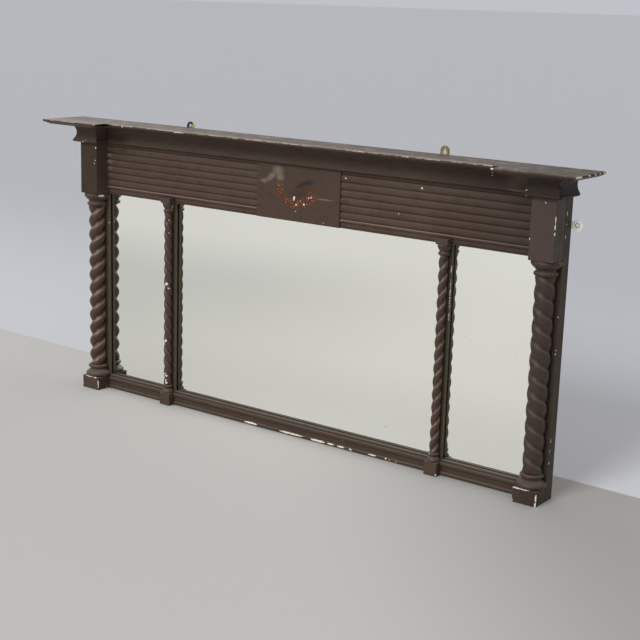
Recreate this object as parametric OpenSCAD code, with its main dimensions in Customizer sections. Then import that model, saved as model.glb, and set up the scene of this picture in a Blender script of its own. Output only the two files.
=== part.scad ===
// Overmantel mirror with three plates, in the style of the early nineteenth century.
// A pine back frame carries the glass. Its front is dressed with a breakfront cornice,
// a reeded frieze with a plain tablet, and four rope-twist columns on square plinths.
// X runs along the width, -Y is the front, +Z is up. The origin is under the middle.

/* [Back frame] */
// Width over the two stiles
frame_w = 1200; // [1060:10:1500]
// Thickness of the frame, face to back
frame_t = 27; // [25:1:34]
// Height of the bottom rail
rail_h = 32; // [30:1:44]
// Height of the glazed openings
sight_h = 432; // [340:4:520]
// Distance of each mullion's middle from the middle of the frame
mullion_x = 356; // [300:2:400]
// Width of each mullion
mullion_w = 27; // [24:0.5:32]
// Length of the rails' tenons
tenon_l = 16; // [12:1:20]
// Thickness of all tenons
tenon_t = 9; // [7:0.5:12]
// Length of the mullions' stub tenons
stub_l = 12; // [8:1:16]

/* [Glass and backing] */
// Thickness of the wood in front of the glass
lip_t = 7; // [5:0.5:8]
// Width of the rebate that holds the glass
rebate_w = 7; // [6:0.5:8]
// Thickness of each mirror plate
glass_t = 4; // [3:0.5:5]
// Gap around the edge of each mirror plate
glass_gap = 1; // [0.5:0.25:2]
// Thickness of the backboards
board_t = 8; // [6:0.5:10]
// Gap around the edge of each backboard
board_gap = 0.4; // [0.2:0.1:1]
// Length of each glazing block
gblock_l = 44; // [30:2:60]
// Largest distance between glazing blocks
gblock_step = 190; // [150:10:260]
// Radius of the panel pins
pin_r = 0.8; // [0.6:0.1:1]
// Radius of the panel pins' heads
pin_head_r = 1.8; // [1.5:0.1:2.4]
// How deep the panel pins go into the glazing blocks
pin_grip = 4; // [2:0.5:5]

/* [Frieze] */
// Height of the moulding under the reeds
bead_h = 18; // [16:0.5:24]
// Height of its flat lower part, and of the square blocks on the inner capitals
fascia_h = 11.5; // [9:0.5:12]
// Thickness of its flat lower part
fascia_t = 2; // [1:0.5:3]
// Projection of its bead
bead_proj = 6; // [4.5:0.5:8]
// Height of the reeded panels that shows under the cornice
panel_h = 99; // [70:1:140]
// Distance from one reed to the next
reed_pitch = 15; // [10:0.5:20]
// Projection of the reeds from the face of the frame
reed_proj = 5; // [4:0.25:7]
// Depth of the grooves between the reeds
reed_depth = 3.5; // [2:0.25:3.5]
// Width of the central tablet
tablet_w = 214; // [120:2:320]
// Thickness of the central tablet
tablet_t = 7; // [5:0.5:9]

/* [Cornice] */
// Height of the crown moulding
crown_h = 39; // [34:1:50]
// Projection of the crown moulding at its top
crown_top = 15; // [13:0.5:20]
// Projection of the crown moulding at its waist
crown_waist = 6; // [4:0.5:8]
// Height of the waist above the foot of the moulding
waist_h = 21; // [18:0.5:22]
// Projection of the rounded lip at the foot of the moulding
crown_lip = 12.5; // [10:0.5:15]
// Height of the lip
lip_h = 6.5; // [5:0.5:8]
// Thickness of the cornice slab
slab_t = 10; // [8:0.5:16]
// Upright part of the slab's edge
slab_edge = 4; // [2:0.5:6]
// Undercut of the slab's edge, measured inwards
slab_bevel = 13; // [8:0.5:16]
// Overhang of the slab past the blocks and the sides
slab_over = 60; // [40:1:80]
// Overhang of the slab past the inner sides of the blocks
slab_return = 55; // [40:1:70]
// Distance of the slab's joints from its breaks
slab_joint = 12; // [8:1:20]
// Length of the nails in the slab
nail_l = 34; // [26:1:44]
// Radius of these nails
nail_r = 1.2; // [1:0.1:1.6]
// Radius of these nails' heads
nail_head_r = 2.4; // [2:0.1:3]

/* [Blocks and plinths] */
// Width of the end blocks, of the stiles behind them and of the plinths under the outer columns
block_w = 50.5; // [46:0.5:60]
// Depth of the end blocks
block_d = 38; // [34:0.5:46]
// Depth of the outer plinths
plinth_d = 38; // [34:0.5:46]
// Height of the outer plinths
plinth_h = 29.5; // [24:0.5:40]
// Width of the inner plinths
inner_plinth_w = 29; // [26:0.5:34]
// Depth of the inner plinths
inner_plinth_d = 19.5; // [17:0.5:26]
// Height of the inner plinths
inner_plinth_h = 28; // [24:0.5:40]
// Width of the square blocks on the inner capitals
abacus_w = 27; // [24:0.5:30]
// Depth of the square blocks on the inner capitals
abacus_d = 19.5; // [17:0.5:24]
// Projection of the moulding along the bottom rail
sill_proj = 6; // [5:0.5:8]

/* [Outer columns] */
// Radius of the twisted shaft over its strands
shaft_r = 19.7; // [17:0.1:21]
// Distance of the column's axis in front of the frame
axis_d = 11.5; // [9:0.5:14]
// Height of one strand along the shaft
strand_h = 31.8; // [28:0.1:44]
// Radius of the ring next to the shaft
ring_r = 23; // [21:0.5:25]
// Height of this ring
ring_h = 8.5; // [6:0.5:10]
// Radius of the neck
neck_r = 19; // [18:0.5:20.5]
// Distance of the neck from the shaft
neck_z = 11.5; // [10:0.5:13]
// Largest radius of capital and base
bell_r = 29; // [26:0.5:32]
// Height of the capital
capital_h = 29; // [26:0.5:36]
// Height of the base
base_h = 27.5; // [25:0.5:36]

/* [Inner columns] */
// Radius of the twisted shaft over its strands
inner_shaft_r = 9.6; // [8.5:0.1:10.4]
// Distance of the column's axis in front of the frame
inner_axis_d = 8; // [6:0.5:8.5]
// Height of one strand along the shaft
inner_strand_h = 26.3; // [23:0.1:36]
// Radius of the ring next to the shaft
inner_ring_r = 11.25; // [10.5:0.25:12.25]
// Height of this ring
inner_ring_h = 6.5; // [5:0.5:8]
// Radius of the neck
inner_neck_r = 9; // [8.75:0.25:10]
// Distance of the neck from the shaft
inner_neck_z = 8.5; // [7.5:0.5:10]
// Largest radius of capital and base
inner_bell_r = 13.25; // [12:0.25:14]
// Height of the capital
inner_capital_h = 21; // [18:0.5:26]
// Height of the base
inner_base_h = 18.5; // [16:0.5:26]

/* [Rope twist] */
// Number of strands
strands = 2; // [2:1:3]
// Share of the radius by which a strand's middle lies off the axis: left outer shaft
offset_outer_left = 0.28; // [0.1:0.01:0.36]
// The same for the right outer shaft, which is carved less deeply
offset_outer_right = 0.14; // [0.1:0.01:0.36]
// The same for the inner shafts
offset_inner = 0.26; // [0.1:0.01:0.36]
// Angle of a strand at the foot of the left outer shaft
start_outer_left = 93; // [0:1:180]
// Angle of a strand at the foot of the right outer shaft
start_outer_right = 3; // [0:1:180]
// Angle of a strand at the foot of the left inner shaft
start_inner_left = 69; // [0:1:180]
// Angle of a strand at the foot of the right inner shaft
start_inner_right = 120; // [0:1:180]

/* [Hanging plates] */
// Thickness of the metal
plate_t = 2; // [1.5:0.25:3]
// Distance of the brass plates from the middle
plate_x = 325; // [200:5:450]
// Width of the brass plates
plate_w = 24; // [20:1:30]
// Height of the brass plates' holes above the top of the slab
plate_rise = 5; // [5:0.5:12]
// Length of the brass plates below their holes
plate_l = 46; // [40:1:60]
// Radius of the holes for hanging
hang_r = 3.5; // [2:0.25:4]
// Depth of the side plate's hole below the top of the slab
side_drop = 103; // [70:1:300]
// Radius of the side plate's round head
side_r = 11.5; // [9:0.5:13]
// Width of the side plate's tongue
side_w = 16; // [12:1:20]
// Length of the side plate's tongue behind the stile
side_l = 38; // [32:1:44]
// Radius of the screws' shanks
screw_r = 2; // [1.5:0.25:2.5]
// Radius of the screws' heads
screw_head_r = 4; // [3.25:0.25:4.5]
// Length of the screws
screw_l = 17; // [12:1:20]
// Distance between the two screws of a plate
screw_pitch = 16; // [14:1:20]

/* [Hidden] */
$fn = 48;
hole_gap = 0.1;        // clearance round tenons, pins, nails and screws in their holes
past = 1;              // how far a cutter runs past the face it cuts
lobe_n = 8;            // flats round each strand of a twisted shaft
twist_step = 26;       // turn from one level of a twisted shaft to the next, in degrees

half_w = frame_w / 2;
sight_top = rail_h + sight_h;
bead_z = sight_top + fascia_h;
panel_z = sight_top + bead_h;
crown_z = panel_z + panel_h;
frame_h = crown_z + crown_h;
top_z = frame_h + slab_t;

block_in = half_w - block_w;                  // inner side of the end blocks
slab_x = half_w + slab_over;                  // ends of the slab
slab_in = block_in - slab_return;             // where the slab breaks forward
slab_cut = slab_in - slab_joint;              // joint between the slab's three boards
slab_front = block_d + slab_over;             // front of the slab over the blocks
slab_mid = reed_proj + slab_over;             // front of the slab over the frieze
face_y = (slab_front - frame_t - plate_t) / 2; // the face of the frame in the part's own Y

stile_in = block_in;                          // the stiles are as wide as the blocks
opening_edges = [
    [-stile_in, -mullion_x - mullion_w / 2],
    [-mullion_x + mullion_w / 2, mullion_x - mullion_w / 2],
    [mullion_x + mullion_w / 2, stile_in]
];
tenon_y = lip_t + 2;                          // front of all tenons
low_tenon_z = 4;                              // the bottom rail's tenon, from and to
low_tenon_h = rail_h - rebate_w - low_tenon_z - 2;
high_tenon_z = sight_top + rebate_w + 8;      // the top rail's tenon, from and to
high_tenon_h = top_z - nail_l - 6 - high_tenon_z;
stub_w = (mullion_w - 2 * rebate_w) / 2;      // half the wood between two rebates

glass_back = lip_t + glass_t;
board_y = frame_t - board_t;
gblock_w = rebate_w - 0.5;

column_x = half_w - block_w / 2;
sill_end = mullion_x - inner_plinth_w / 2;    // the sill's lengths end at the inner plinths
sill_start = mullion_x + inner_plinth_w / 2;
shaft_z = plinth_h + base_h;
shaft_top = sight_top - capital_h;
inner_shaft_z = inner_plinth_h + inner_base_h;
inner_shaft_top = sight_top - inner_capital_h;

plate_z = top_z + plate_rise;                 // hole of a brass plate
plate_foot = plate_z - plate_l;
side_z = top_z - side_drop;
screw_edge = 8;                               // screw to the end of its plate
rail_tenon_l = min(tenon_l, block_w - side_l + screw_edge - screw_r - 2.5);
nail_xs = [column_x, 410, 140];               // nails along the slab's back edge
nail_y = frame_t / 2;
block_nail_y = -block_d / 2;

wood_dark = "#4a3d36";
wood_bare = "#b08a5c";
silvered = "#cfd3d0";
brass = "#b59a5e";
white_paint = "#eee6da";
steel = "#77736e";

// ---- shared shapes ----

// Moves a shape from the frame's face to its place in the part.
module at_face() {
    translate([0, face_y, 0]) children();
}

// Draws a shape on the right and its mirror image on the left.
module both_sides() {
    children();
    mirror([1, 0, 0]) children();
}

// A box between two corners.
module box(from, to) {
    translate(from) cube(to - from);
}

// A profile drawn as [forward, up], run along X from x0 to x1.
module run_x(x0, x1) {
    translate([x0, 0, 0])
        rotate([90, 0, 90])
            linear_extrude(x1 - x0) mirror([1, 0]) children();
}

// A half-round nose in section, from the height z upwards, planted on the line at zero.
module nose(z, r, proj) {
    translate([0, z]) square([proj - r, 2 * r]);
    intersection() {
        translate([proj - r, z + r]) circle(r = r);
        translate([0, z]) square([proj, 2 * r]);
    }
}

// A profile drawn as [sideways, up], run along Y from y0 back to y1.
module run_y(y0, y1) {
    translate([0, y1, 0])
        rotate([90, 0, 0])
            linear_extrude(y1 - y0) children();
}

// A plan outline drawn as [x, y], standing from z0 to z1.
module stand(z0, z1) {
    translate([0, 0, z0]) linear_extrude(z1 - z0) children();
}

// A cylinder along Y, from y0 back to y1.
module rod_y(x, z, r, y0, y1) {
    translate([x, y1, z]) rotate([90, 0, 0]) cylinder(h = y1 - y0, r = r);
}

function arc(cx, cy, r, a0, a1, n) =
    [for (i = [0 : n]) let (a = a0 + (a1 - a0) * i / n) [cx + r * cos(a), cy + r * sin(a)]];

// Even places from a to b, both ends kept clear by half of clear, no further apart than step.
function places(a, b, clear, step) =
    let (n = ceil((b - a - clear) / step))
    [for (i = [0 : n]) a + clear / 2 + (b - a - clear) * i / n];

// ---- back frame ----

// The rebate behind one opening, from the back of the lip to the back of the frame.
module rebate(edges) {
    box([edges[0] - rebate_w, lip_t, rail_h - rebate_w],
        [edges[1] + rebate_w, frame_t + past, sight_top + rebate_w]);
}

// The rails' tenons, or their mortises in the stiles where gap is more than zero.
module rail_tenons(gap) {
    both_sides()
        for (t = [[low_tenon_z, low_tenon_h], [high_tenon_z, high_tenon_h]])
            box([stile_in - past, tenon_y - gap, t[0] - gap],
                [stile_in + rail_tenon_l + gap, tenon_y + tenon_t + gap, t[0] + t[1] + gap]);
}

// The stub tenons of the right-hand mullion, or their mortises in the rails.
module stub_tenons(gap) {
    for (z = [[rail_h - stub_l - gap, rail_h + past], [sight_top - past, sight_top + stub_l + gap]])
        box([mullion_x - stub_w / 2 - gap, tenon_y - gap, z[0]],
            [mullion_x + stub_w / 2 + gap, tenon_y + tenon_t + gap, z[1]]);
}

// A round nail with a flat head, driven down flush with the top of the slab.
module nail(x, y, gap) {
    head_t = 1;
    translate([x, y, top_z - nail_l - gap]) cylinder(h = nail_l + gap, r = nail_r + gap);
    translate([x, y, top_z - head_t - gap]) cylinder(h = head_t + 2 * gap, r = nail_head_r + gap);
}

// The slab's nails, or their holes in all that they go through.
module nails(gap) {
    both_sides() {
        for (x = nail_xs)
            nail(x, nail_y, gap);
        nail(column_x, block_nail_y, gap);
    }
}

// Only the right-hand stile carries the side plate and its screws.
module stile(has_plate) {
    color(wood_dark)
    difference() {
        box([stile_in, 0, 0], [half_w, frame_t, frame_h]);
        rebate(opening_edges[2]);
        rail_tenons(hole_gap);
        nails(hole_gap);
        if (has_plate) screws(hole_gap);
    }
}

module top_rail() {
    color(wood_dark)
    difference() {
        union() {
            box([-stile_in, 0, sight_top], [stile_in, frame_t, frame_h]);
            intersection() {
                rail_tenons(0);
                box([-half_w, 0, sight_top], [half_w, frame_t, frame_h]);
            }
        }
        for (edges = opening_edges) rebate(edges);
        both_sides() stub_tenons(hole_gap);
        nails(hole_gap);
        screws(hole_gap);
    }
}

module bottom_rail() {
    color(wood_dark)
    difference() {
        union() {
            box([-stile_in, 0, 0], [stile_in, frame_t, rail_h]);
            intersection() {
                rail_tenons(0);
                box([-half_w, 0, 0], [half_w, frame_t, rail_h]);
            }
        }
        for (edges = opening_edges) rebate(edges);
        both_sides() stub_tenons(hole_gap);
    }
}

module mullion() {
    color(wood_dark)
    difference() {
        union() {
            box([mullion_x - mullion_w / 2, 0, rail_h],
                [mullion_x + mullion_w / 2, frame_t, sight_top]);
            stub_tenons(0);
        }
        rebate(opening_edges[1]);
        rebate(opening_edges[2]);
    }
}

// ---- glass and backing ----

module mirror_glass(edges) {
    gap = rebate_w - glass_gap;
    color(silvered)
    box([edges[0] - gap, lip_t, rail_h - gap], [edges[1] + gap, glass_back, sight_top + gap]);
}

module backboard(edges) {
    gap = rebate_w - board_gap;
    color(wood_bare)
    difference() {
        box([edges[0] - gap, board_y, rail_h - gap], [edges[1] + gap, frame_t, sight_top + gap]);
        pins(hole_gap);
    }
}

function block_xs(edges) = places(edges[0], edges[1], gblock_l * 2, gblock_step);
block_zs = places(rail_h, sight_top, gblock_l * 2, gblock_step);

// Short softwood blocks glued into the rebate behind the glass, out of sight.
module glazing_blocks() {
    for (edges = opening_edges) {
        for (x = block_xs(edges)) {
            box([x - gblock_l / 2, glass_back, rail_h - rebate_w],
                [x + gblock_l / 2, board_y, rail_h - rebate_w + gblock_w]);
            box([x - gblock_l / 2, glass_back, sight_top + rebate_w - gblock_w],
                [x + gblock_l / 2, board_y, sight_top + rebate_w]);
        }
        for (z = block_zs) {
            box([edges[0] - rebate_w, glass_back, z - gblock_l / 2],
                [edges[0] - rebate_w + gblock_w, board_y, z + gblock_l / 2]);
            box([edges[1] + rebate_w - gblock_w, glass_back, z - gblock_l / 2],
                [edges[1] + rebate_w, board_y, z + gblock_l / 2]);
        }
    }
}

module pin(x, z, gap) {
    head_t = 0.6;
    rod_y(x, z, pin_r + gap, board_y - pin_grip, frame_t);
    rod_y(x, z, pin_head_r + gap, frame_t - head_t, frame_t + gap);
}

// One pin through the backboard into the middle of each glazing block.
module pins(gap) {
    edge = rebate_w - gblock_w / 2;
    for (edges = opening_edges) {
        for (x = block_xs(edges)) {
            pin(x, rail_h - edge, gap);
            pin(x, sight_top + edge, gap);
        }
        for (z = block_zs) {
            pin(edges[0] - edge, z, gap);
            pin(edges[1] + edge, z, gap);
        }
    }
}

// ---- frieze ----

module end_block() {
    color(wood_dark)
    difference() {
        box([block_in, -block_d, sight_top], [half_w, 0, frame_h]);
        nails(hole_gap);
    }
}

// Convex reeds side by side: each is a slice of a round bar.
module reed_profile() {
    reed_r = (pow(reed_pitch / 2, 2) + pow(reed_depth, 2)) / (2 * reed_depth);
    intersection() {
        translate([0, panel_z]) square([reed_proj, panel_h]);
        union() {
            translate([0, panel_z]) square([reed_proj - reed_depth, panel_h]);
            for (z = [panel_z + reed_pitch / 2 : reed_pitch : crown_z + reed_pitch / 2])
                translate([reed_proj - reed_r, z]) circle(r = reed_r);
        }
    }
}

module reeded_panel() {
    color(wood_dark)
    run_x(tablet_w / 2, block_in) reed_profile();
}

module tablet() {
    color(wood_dark)
    box([-tablet_w / 2, -tablet_t, sight_top], [tablet_w / 2, 0, crown_z]);
}

module frieze_bead() {
    bead_r = (panel_z - bead_z) / 2;
    color(wood_dark)
    run_x(tablet_w / 2, block_in) {
        translate([0, sight_top]) square([fascia_t, fascia_h]);
        nose(bead_z, bead_r, bead_proj);
    }
}

// ---- cornice ----

// The crown moulding in section: a hollow face over a rounded lip.
// Zero is the face that it is planted on, at the foot of the moulding.
module crown_profile() {
    rise = crown_h - waist_h;
    out = crown_top - crown_waist;
    hollow_r = (rise * rise + out * out) / (2 * out);
    difference() {
        translate([0, lip_h]) square([crown_top, crown_h - lip_h]);
        translate([crown_waist + hollow_r, waist_h]) circle(r = hollow_r, $fn = 96);
    }
    nose(0, lip_h / 2, crown_lip);
}

// The centre length stands behind the reeds' crests, so it has a backing as thick as they are.
module crown_centre() {
    a = crown_top;
    color(wood_dark)
    intersection() {
        run_x(-half_w, half_w) translate([0, crown_z]) {
            square([reed_proj, crown_h]);
            translate([reed_proj, 0]) crown_profile();
        }
        stand(crown_z, frame_h) polygon([
            [-block_in, 0], [-block_in, -reed_proj], [-block_in + a, -reed_proj - a],
            [block_in - a, -reed_proj - a], [block_in, -reed_proj], [block_in, 0]]);
    }
}

module crown_inner_return() {
    a = crown_top;
    color(wood_dark)
    intersection() {
        run_y(-block_d - a, 0) translate([block_in, crown_z]) mirror([1, 0]) crown_profile();
        stand(crown_z, frame_h) polygon([
            [block_in, -reed_proj], [block_in - a, -reed_proj - a],
            [block_in - a, -block_d - a], [block_in, -block_d]]);
    }
}

module crown_front() {
    a = crown_top;
    color(wood_dark)
    intersection() {
        run_x(block_in - a, half_w + a) translate([block_d, crown_z]) crown_profile();
        stand(crown_z, frame_h) polygon([
            [block_in, -block_d], [block_in - a, -block_d - a],
            [half_w + a, -block_d - a], [half_w, -block_d]]);
    }
}

module crown_outer_return() {
    a = crown_top;
    color(wood_dark)
    intersection() {
        run_y(-block_d - a, frame_t) translate([half_w, crown_z]) crown_profile();
        stand(crown_z, frame_h) polygon([
            [half_w, -block_d], [half_w + a, -block_d - a], [half_w + a, frame_t], [half_w, frame_t]]);
    }
}

// The slab's front edge in section: an upright edge over an undercut.
module slab_profile(front) {
    polygon([[-frame_t, frame_h], [-frame_t, top_z], [front, top_z], [front, top_z - slab_edge],
             [front - slab_bevel, frame_h]]);
}

module slab_centre() {
    color(wood_dark)
    difference() {
        run_x(-slab_cut, slab_cut) slab_profile(slab_mid);
        nails(hole_gap);
    }
}

// The slab breaks forward over the end block: its undercut turns all three corners.
module slab_end() {
    color(wood_dark)
    difference() {
        union() {
            run_x(slab_cut, slab_in + slab_bevel + past) slab_profile(slab_mid);
            intersection() {
                run_x(slab_in, slab_x) slab_profile(slab_front);
                run_y(-slab_front, frame_t) polygon([
                    [slab_in + slab_bevel, frame_h], [slab_in, top_z - slab_edge],
                    [slab_in, top_z], [slab_x, top_z],
                    [slab_x, top_z - slab_edge], [slab_x - slab_bevel, frame_h]]);
            }
        }
        nails(hole_gap);
    }
}

// ---- plinths and the moulding along the bottom rail ----

// A bead at the floor, a flat, a groove, an ovolo and a fillet at the glass.
module sill_profile() {
    foot_r = 4.25;
    flat_t = sill_proj - 2.5;
    flat_h = 17;
    groove_h = 1.2;
    groove_t = 2;
    fillet_h = 4.5;
    ovolo_h = rail_h - flat_h - groove_h - fillet_h;
    ovolo_r = 6;
    square([flat_t, flat_h]);
    nose(0, foot_r, sill_proj);
    square([groove_t, rail_h]);
    translate([0, rail_h - fillet_h]) square([groove_t + 0.6, fillet_h]);
    intersection() {
        translate([0, flat_h + groove_h]) square([sill_proj, ovolo_h]);
        translate([sill_proj - 0.5 - ovolo_r, flat_h + groove_h + ovolo_h / 2]) circle(r = ovolo_r);
    }
}

module sill(x0, x1) {
    color(wood_dark)
    run_x(x0, x1) sill_profile();
}

module plinth_outer() {
    color(wood_dark)
    box([block_in, -plinth_d, 0], [half_w, 0, plinth_h]);
}

module plinth_inner() {
    color(wood_dark)
    box([mullion_x - inner_plinth_w / 2, -inner_plinth_d, 0],
        [mullion_x + inner_plinth_w / 2, 0, inner_plinth_h]);
}

module abacus() {
    color(wood_dark)
    box([mullion_x - abacus_w / 2, -abacus_d, sight_top],
        [mullion_x + abacus_w / 2, -fascia_t, bead_z]);
}

// ---- columns ----

// A turned capital in section, as [radius, height] from the shaft upwards:
// a half-round ring, a neck, and a bell that swells to a rounded edge.
module bell_profile(end_r, r_ring, h_ring, r_neck, z_neck, r_bell, h_bell) {
    edge_r = (r_bell - r_neck) * 0.4;
    edge_z = h_bell - edge_r * 1.2;
    steps = 8;
    polygon(concat(
        [[0, 0], [end_r, 0]],
        [for (p = arc(0, 0, 1, -75, 75, 6))
            [end_r + (r_ring - end_r) * (p[0] - cos(75)) / (1 - cos(75)),
             h_ring * (0.5 + 0.5 * p[1])]],
        [[r_neck, h_ring + 0.5]],
        [for (i = [0 : steps])
            [r_neck + (r_bell - r_neck) * pow(sin(90 * i / steps), 1.2),
             z_neck + (edge_z - z_neck) * i / steps]],
        arc(r_bell - edge_r, edge_z, edge_r, 15, 75, 3),
        [[r_bell - edge_r, h_bell], [0, h_bell]]));
}

// Cuts the back off a column, so that it lies flat against the frame.
module split_at_face(r, axis, z0, z1) {
    intersection() {
        translate([0, -axis, z0]) children();
        box([-2 * r, -axis - 2 * r, z0], [2 * r, 0, z1]);
    }
}

module outer_bell(h) {
    rotate_extrude()
        bell_profile(shaft_r - 0.5, ring_r, ring_h, neck_r, neck_z, bell_r, h);
}

module inner_bell(h) {
    rotate_extrude()
        bell_profile(inner_shaft_r - 0.3, inner_ring_r, inner_ring_h, inner_neck_r,
                     inner_neck_z, inner_bell_r, h);
}

module capital_outer() {
    color(wood_dark)
    translate([column_x, 0, 0])
        split_at_face(bell_r, axis_d, shaft_top, sight_top) outer_bell(capital_h);
}

module capital_inner() {
    color(wood_dark)
    translate([mullion_x, 0, 0])
        split_at_face(inner_bell_r, inner_axis_d, inner_shaft_top, sight_top)
            inner_bell(inner_capital_h);
}

// A base is a capital turned upside down.
module base_outer() {
    color(wood_dark)
    translate([column_x, 0, 0])
        split_at_face(bell_r, axis_d, plinth_h, shaft_z)
            translate([0, 0, base_h]) mirror([0, 0, 1]) outer_bell(base_h);
}

module base_inner() {
    color(wood_dark)
    translate([mullion_x, 0, 0])
        split_at_face(inner_bell_r, inner_axis_d, inner_plinth_h, inner_shaft_z)
            translate([0, 0, inner_base_h]) mirror([0, 0, 1]) inner_bell(inner_base_h);
}

// The rope twist: round strands side by side, turned about the axis as they rise.
// Seen from above, the outline at an angle a from a strand's middle has this radius.
function strand_radius(r, off, a) =
    off * cos(a) + sqrt(pow(r - off, 2) - pow(off * sin(a), 2));

function rope_radius(r, off, a) =
    let (part = 360 / strands) strand_radius(r, off, a - part * floor(a / part + 0.5));

// One level of the shaft. What would lie behind the face of the frame is pressed flat on it.
function rope_ring(r, off, depth, spin) =
    [for (i = [0 : strands * lobe_n - 1])
        let (a = 360 * i / (strands * lobe_n), q = rope_radius(r, off, a))
        [q * cos(a + spin), min(q * sin(a + spin), depth)]];

// turn is 1 where the strands climb to the right, -1 where they climb to the left.
module rope_shaft(r, off, depth, length, rise, turn, start) {
    levels = round(length / rise * 360 / strands / twist_step);
    m = strands * lobe_n;
    rings = [for (k = [0 : levels])
        rope_ring(r, off, depth, start + turn * 360 / strands * length * k / levels / rise)];
    polyhedron(
        points = [for (k = [0 : levels]) for (p = rings[k]) [p[0], p[1], length * k / levels]],
        faces = concat(
            [[for (i = [0 : m - 1]) i]],
            [[for (i = [m - 1 : -1 : 0]) levels * m + i]],
            [for (k = [0 : levels - 1]) for (i = [0 : m - 1]) for (half = [0, 1])
                let (a = k * m + i, b = k * m + (i + 1) % m)
                turn < 0 ? (half == 0 ? [a, a + m, b + m] : [a, b + m, b])
                         : (half == 0 ? [a, a + m, b] : [b, a + m, b + m])]));
}

module twist_outer(side, start, off) {
    color(wood_dark)
    translate([side * column_x, -axis_d, shaft_z])
        rope_shaft(shaft_r, shaft_r * off, axis_d, shaft_top - shaft_z, strand_h, -side, start);
}

module twist_inner(side, start) {
    color(wood_dark)
    translate([side * mullion_x, -inner_axis_d, inner_shaft_z])
        rope_shaft(inner_shaft_r, inner_shaft_r * offset_inner, inner_axis_d,
                   inner_shaft_top - inner_shaft_z, inner_strand_h, side, start);
}

// ---- hanging plates ----

// A countersunk screw, driven forwards from the back of a plate.
module screw(x, z, gap) {
    back = frame_t + plate_t;
    rod_y(x, z, screw_r + gap, back - screw_l, back);
    translate([x, back + gap, z]) rotate([90, 0, 0])
        cylinder(h = plate_t + gap, r1 = screw_head_r + gap, r2 = screw_r + gap);
}

module screws(gap) {
    for (i = [0, 1]) {
        both_sides()
            screw(plate_x, plate_foot + screw_edge + i * screw_pitch, gap);
        screw(half_w - side_l + screw_edge + i * screw_pitch, side_z, gap);
    }
}

module brass_plate() {
    color(brass)
    difference() {
        translate([plate_x, frame_t + plate_t, 0]) rotate([90, 0, 0]) linear_extrude(plate_t) {
            translate([0, plate_z]) circle(r = plate_w / 2);
            translate([-plate_w / 2, plate_foot]) square([plate_w, plate_l]);
        }
        rod_y(plate_x, plate_z, hang_r, frame_t - past, frame_t + plate_t + past);
        screws(hole_gap);
    }
}

module side_plate() {
    color(white_paint)
    difference() {
        translate([half_w, frame_t + plate_t, side_z]) rotate([90, 0, 0]) linear_extrude(plate_t) {
            translate([side_r, 0]) circle(r = side_r);
            translate([-side_l, -side_w / 2]) square([side_l + side_r, side_w]);
        }
        rod_y(half_w + side_r, side_z, hang_r, frame_t - past, frame_t + plate_t + past);
        screws(hole_gap);
    }
}

// ---- every piece in its place ----

module left() {
    at_face() mirror([1, 0, 0]) children();
}

module right() {
    at_face() children();
}

left() stile(false);  // stile_left
right() stile(true);  // stile_right
at_face() top_rail();
at_face() bottom_rail();
left() mullion();  // mullion_left
right() mullion();  // mullion_right
at_face() mirror_glass(opening_edges[0]);  // mirror_glass_left
at_face() mirror_glass(opening_edges[1]);  // mirror_glass_centre
at_face() mirror_glass(opening_edges[2]);  // mirror_glass_right
at_face() backboard(opening_edges[0]);  // backboard_left
at_face() backboard(opening_edges[1]);  // backboard_centre
at_face() backboard(opening_edges[2]);  // backboard_right
at_face() glazing_blocks();
at_face() color(steel) pins(0);  // panel_pins
left() end_block();  // end_block_left
right() end_block();  // end_block_right
left() reeded_panel();  // reeded_panel_left
right() reeded_panel();  // reeded_panel_right
at_face() tablet();
left() frieze_bead();  // frieze_bead_left
right() frieze_bead();  // frieze_bead_right
at_face() crown_centre();
left() crown_front();  // crown_front_left
right() crown_front();  // crown_front_right
left() crown_inner_return();  // crown_inner_return_left
right() crown_inner_return();  // crown_inner_return_right
left() crown_outer_return();  // crown_outer_return_left
right() crown_outer_return();  // crown_outer_return_right
at_face() slab_centre();
left() slab_end();  // slab_end_left
right() slab_end();  // slab_end_right
at_face() color(steel) nails(0);  // slab_nails
left() sill(sill_start, block_in);  // sill_left
right() sill(sill_start, block_in);  // sill_right
at_face() sill(-sill_end, sill_end);  // sill_centre
left() plinth_outer();  // plinth_outer_left
right() plinth_outer();  // plinth_outer_right
left() plinth_inner();  // plinth_inner_left
right() plinth_inner();  // plinth_inner_right
left() base_outer();  // base_outer_left
right() base_outer();  // base_outer_right
left() base_inner();  // base_inner_left
right() base_inner();  // base_inner_right
at_face() twist_outer(-1, start_outer_left, offset_outer_left);  // twist_shaft_outer_left
at_face() twist_outer(1, start_outer_right, offset_outer_right);  // twist_shaft_outer_right
at_face() twist_inner(-1, start_inner_left);  // twist_shaft_inner_left
at_face() twist_inner(1, start_inner_right);  // twist_shaft_inner_right
left() capital_outer();  // capital_outer_left
right() capital_outer();  // capital_outer_right
left() capital_inner();  // capital_inner_left
right() capital_inner();  // capital_inner_right
left() abacus();  // abacus_left
right() abacus();  // abacus_right
left() brass_plate();  // brass_plate_left
right() brass_plate();  // brass_plate_right
at_face() side_plate();
at_face() color(brass) screws(0);  // plate_screws
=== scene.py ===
import math

import bmesh
import bpy
from mathutils import Matrix, Vector, noise


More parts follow.
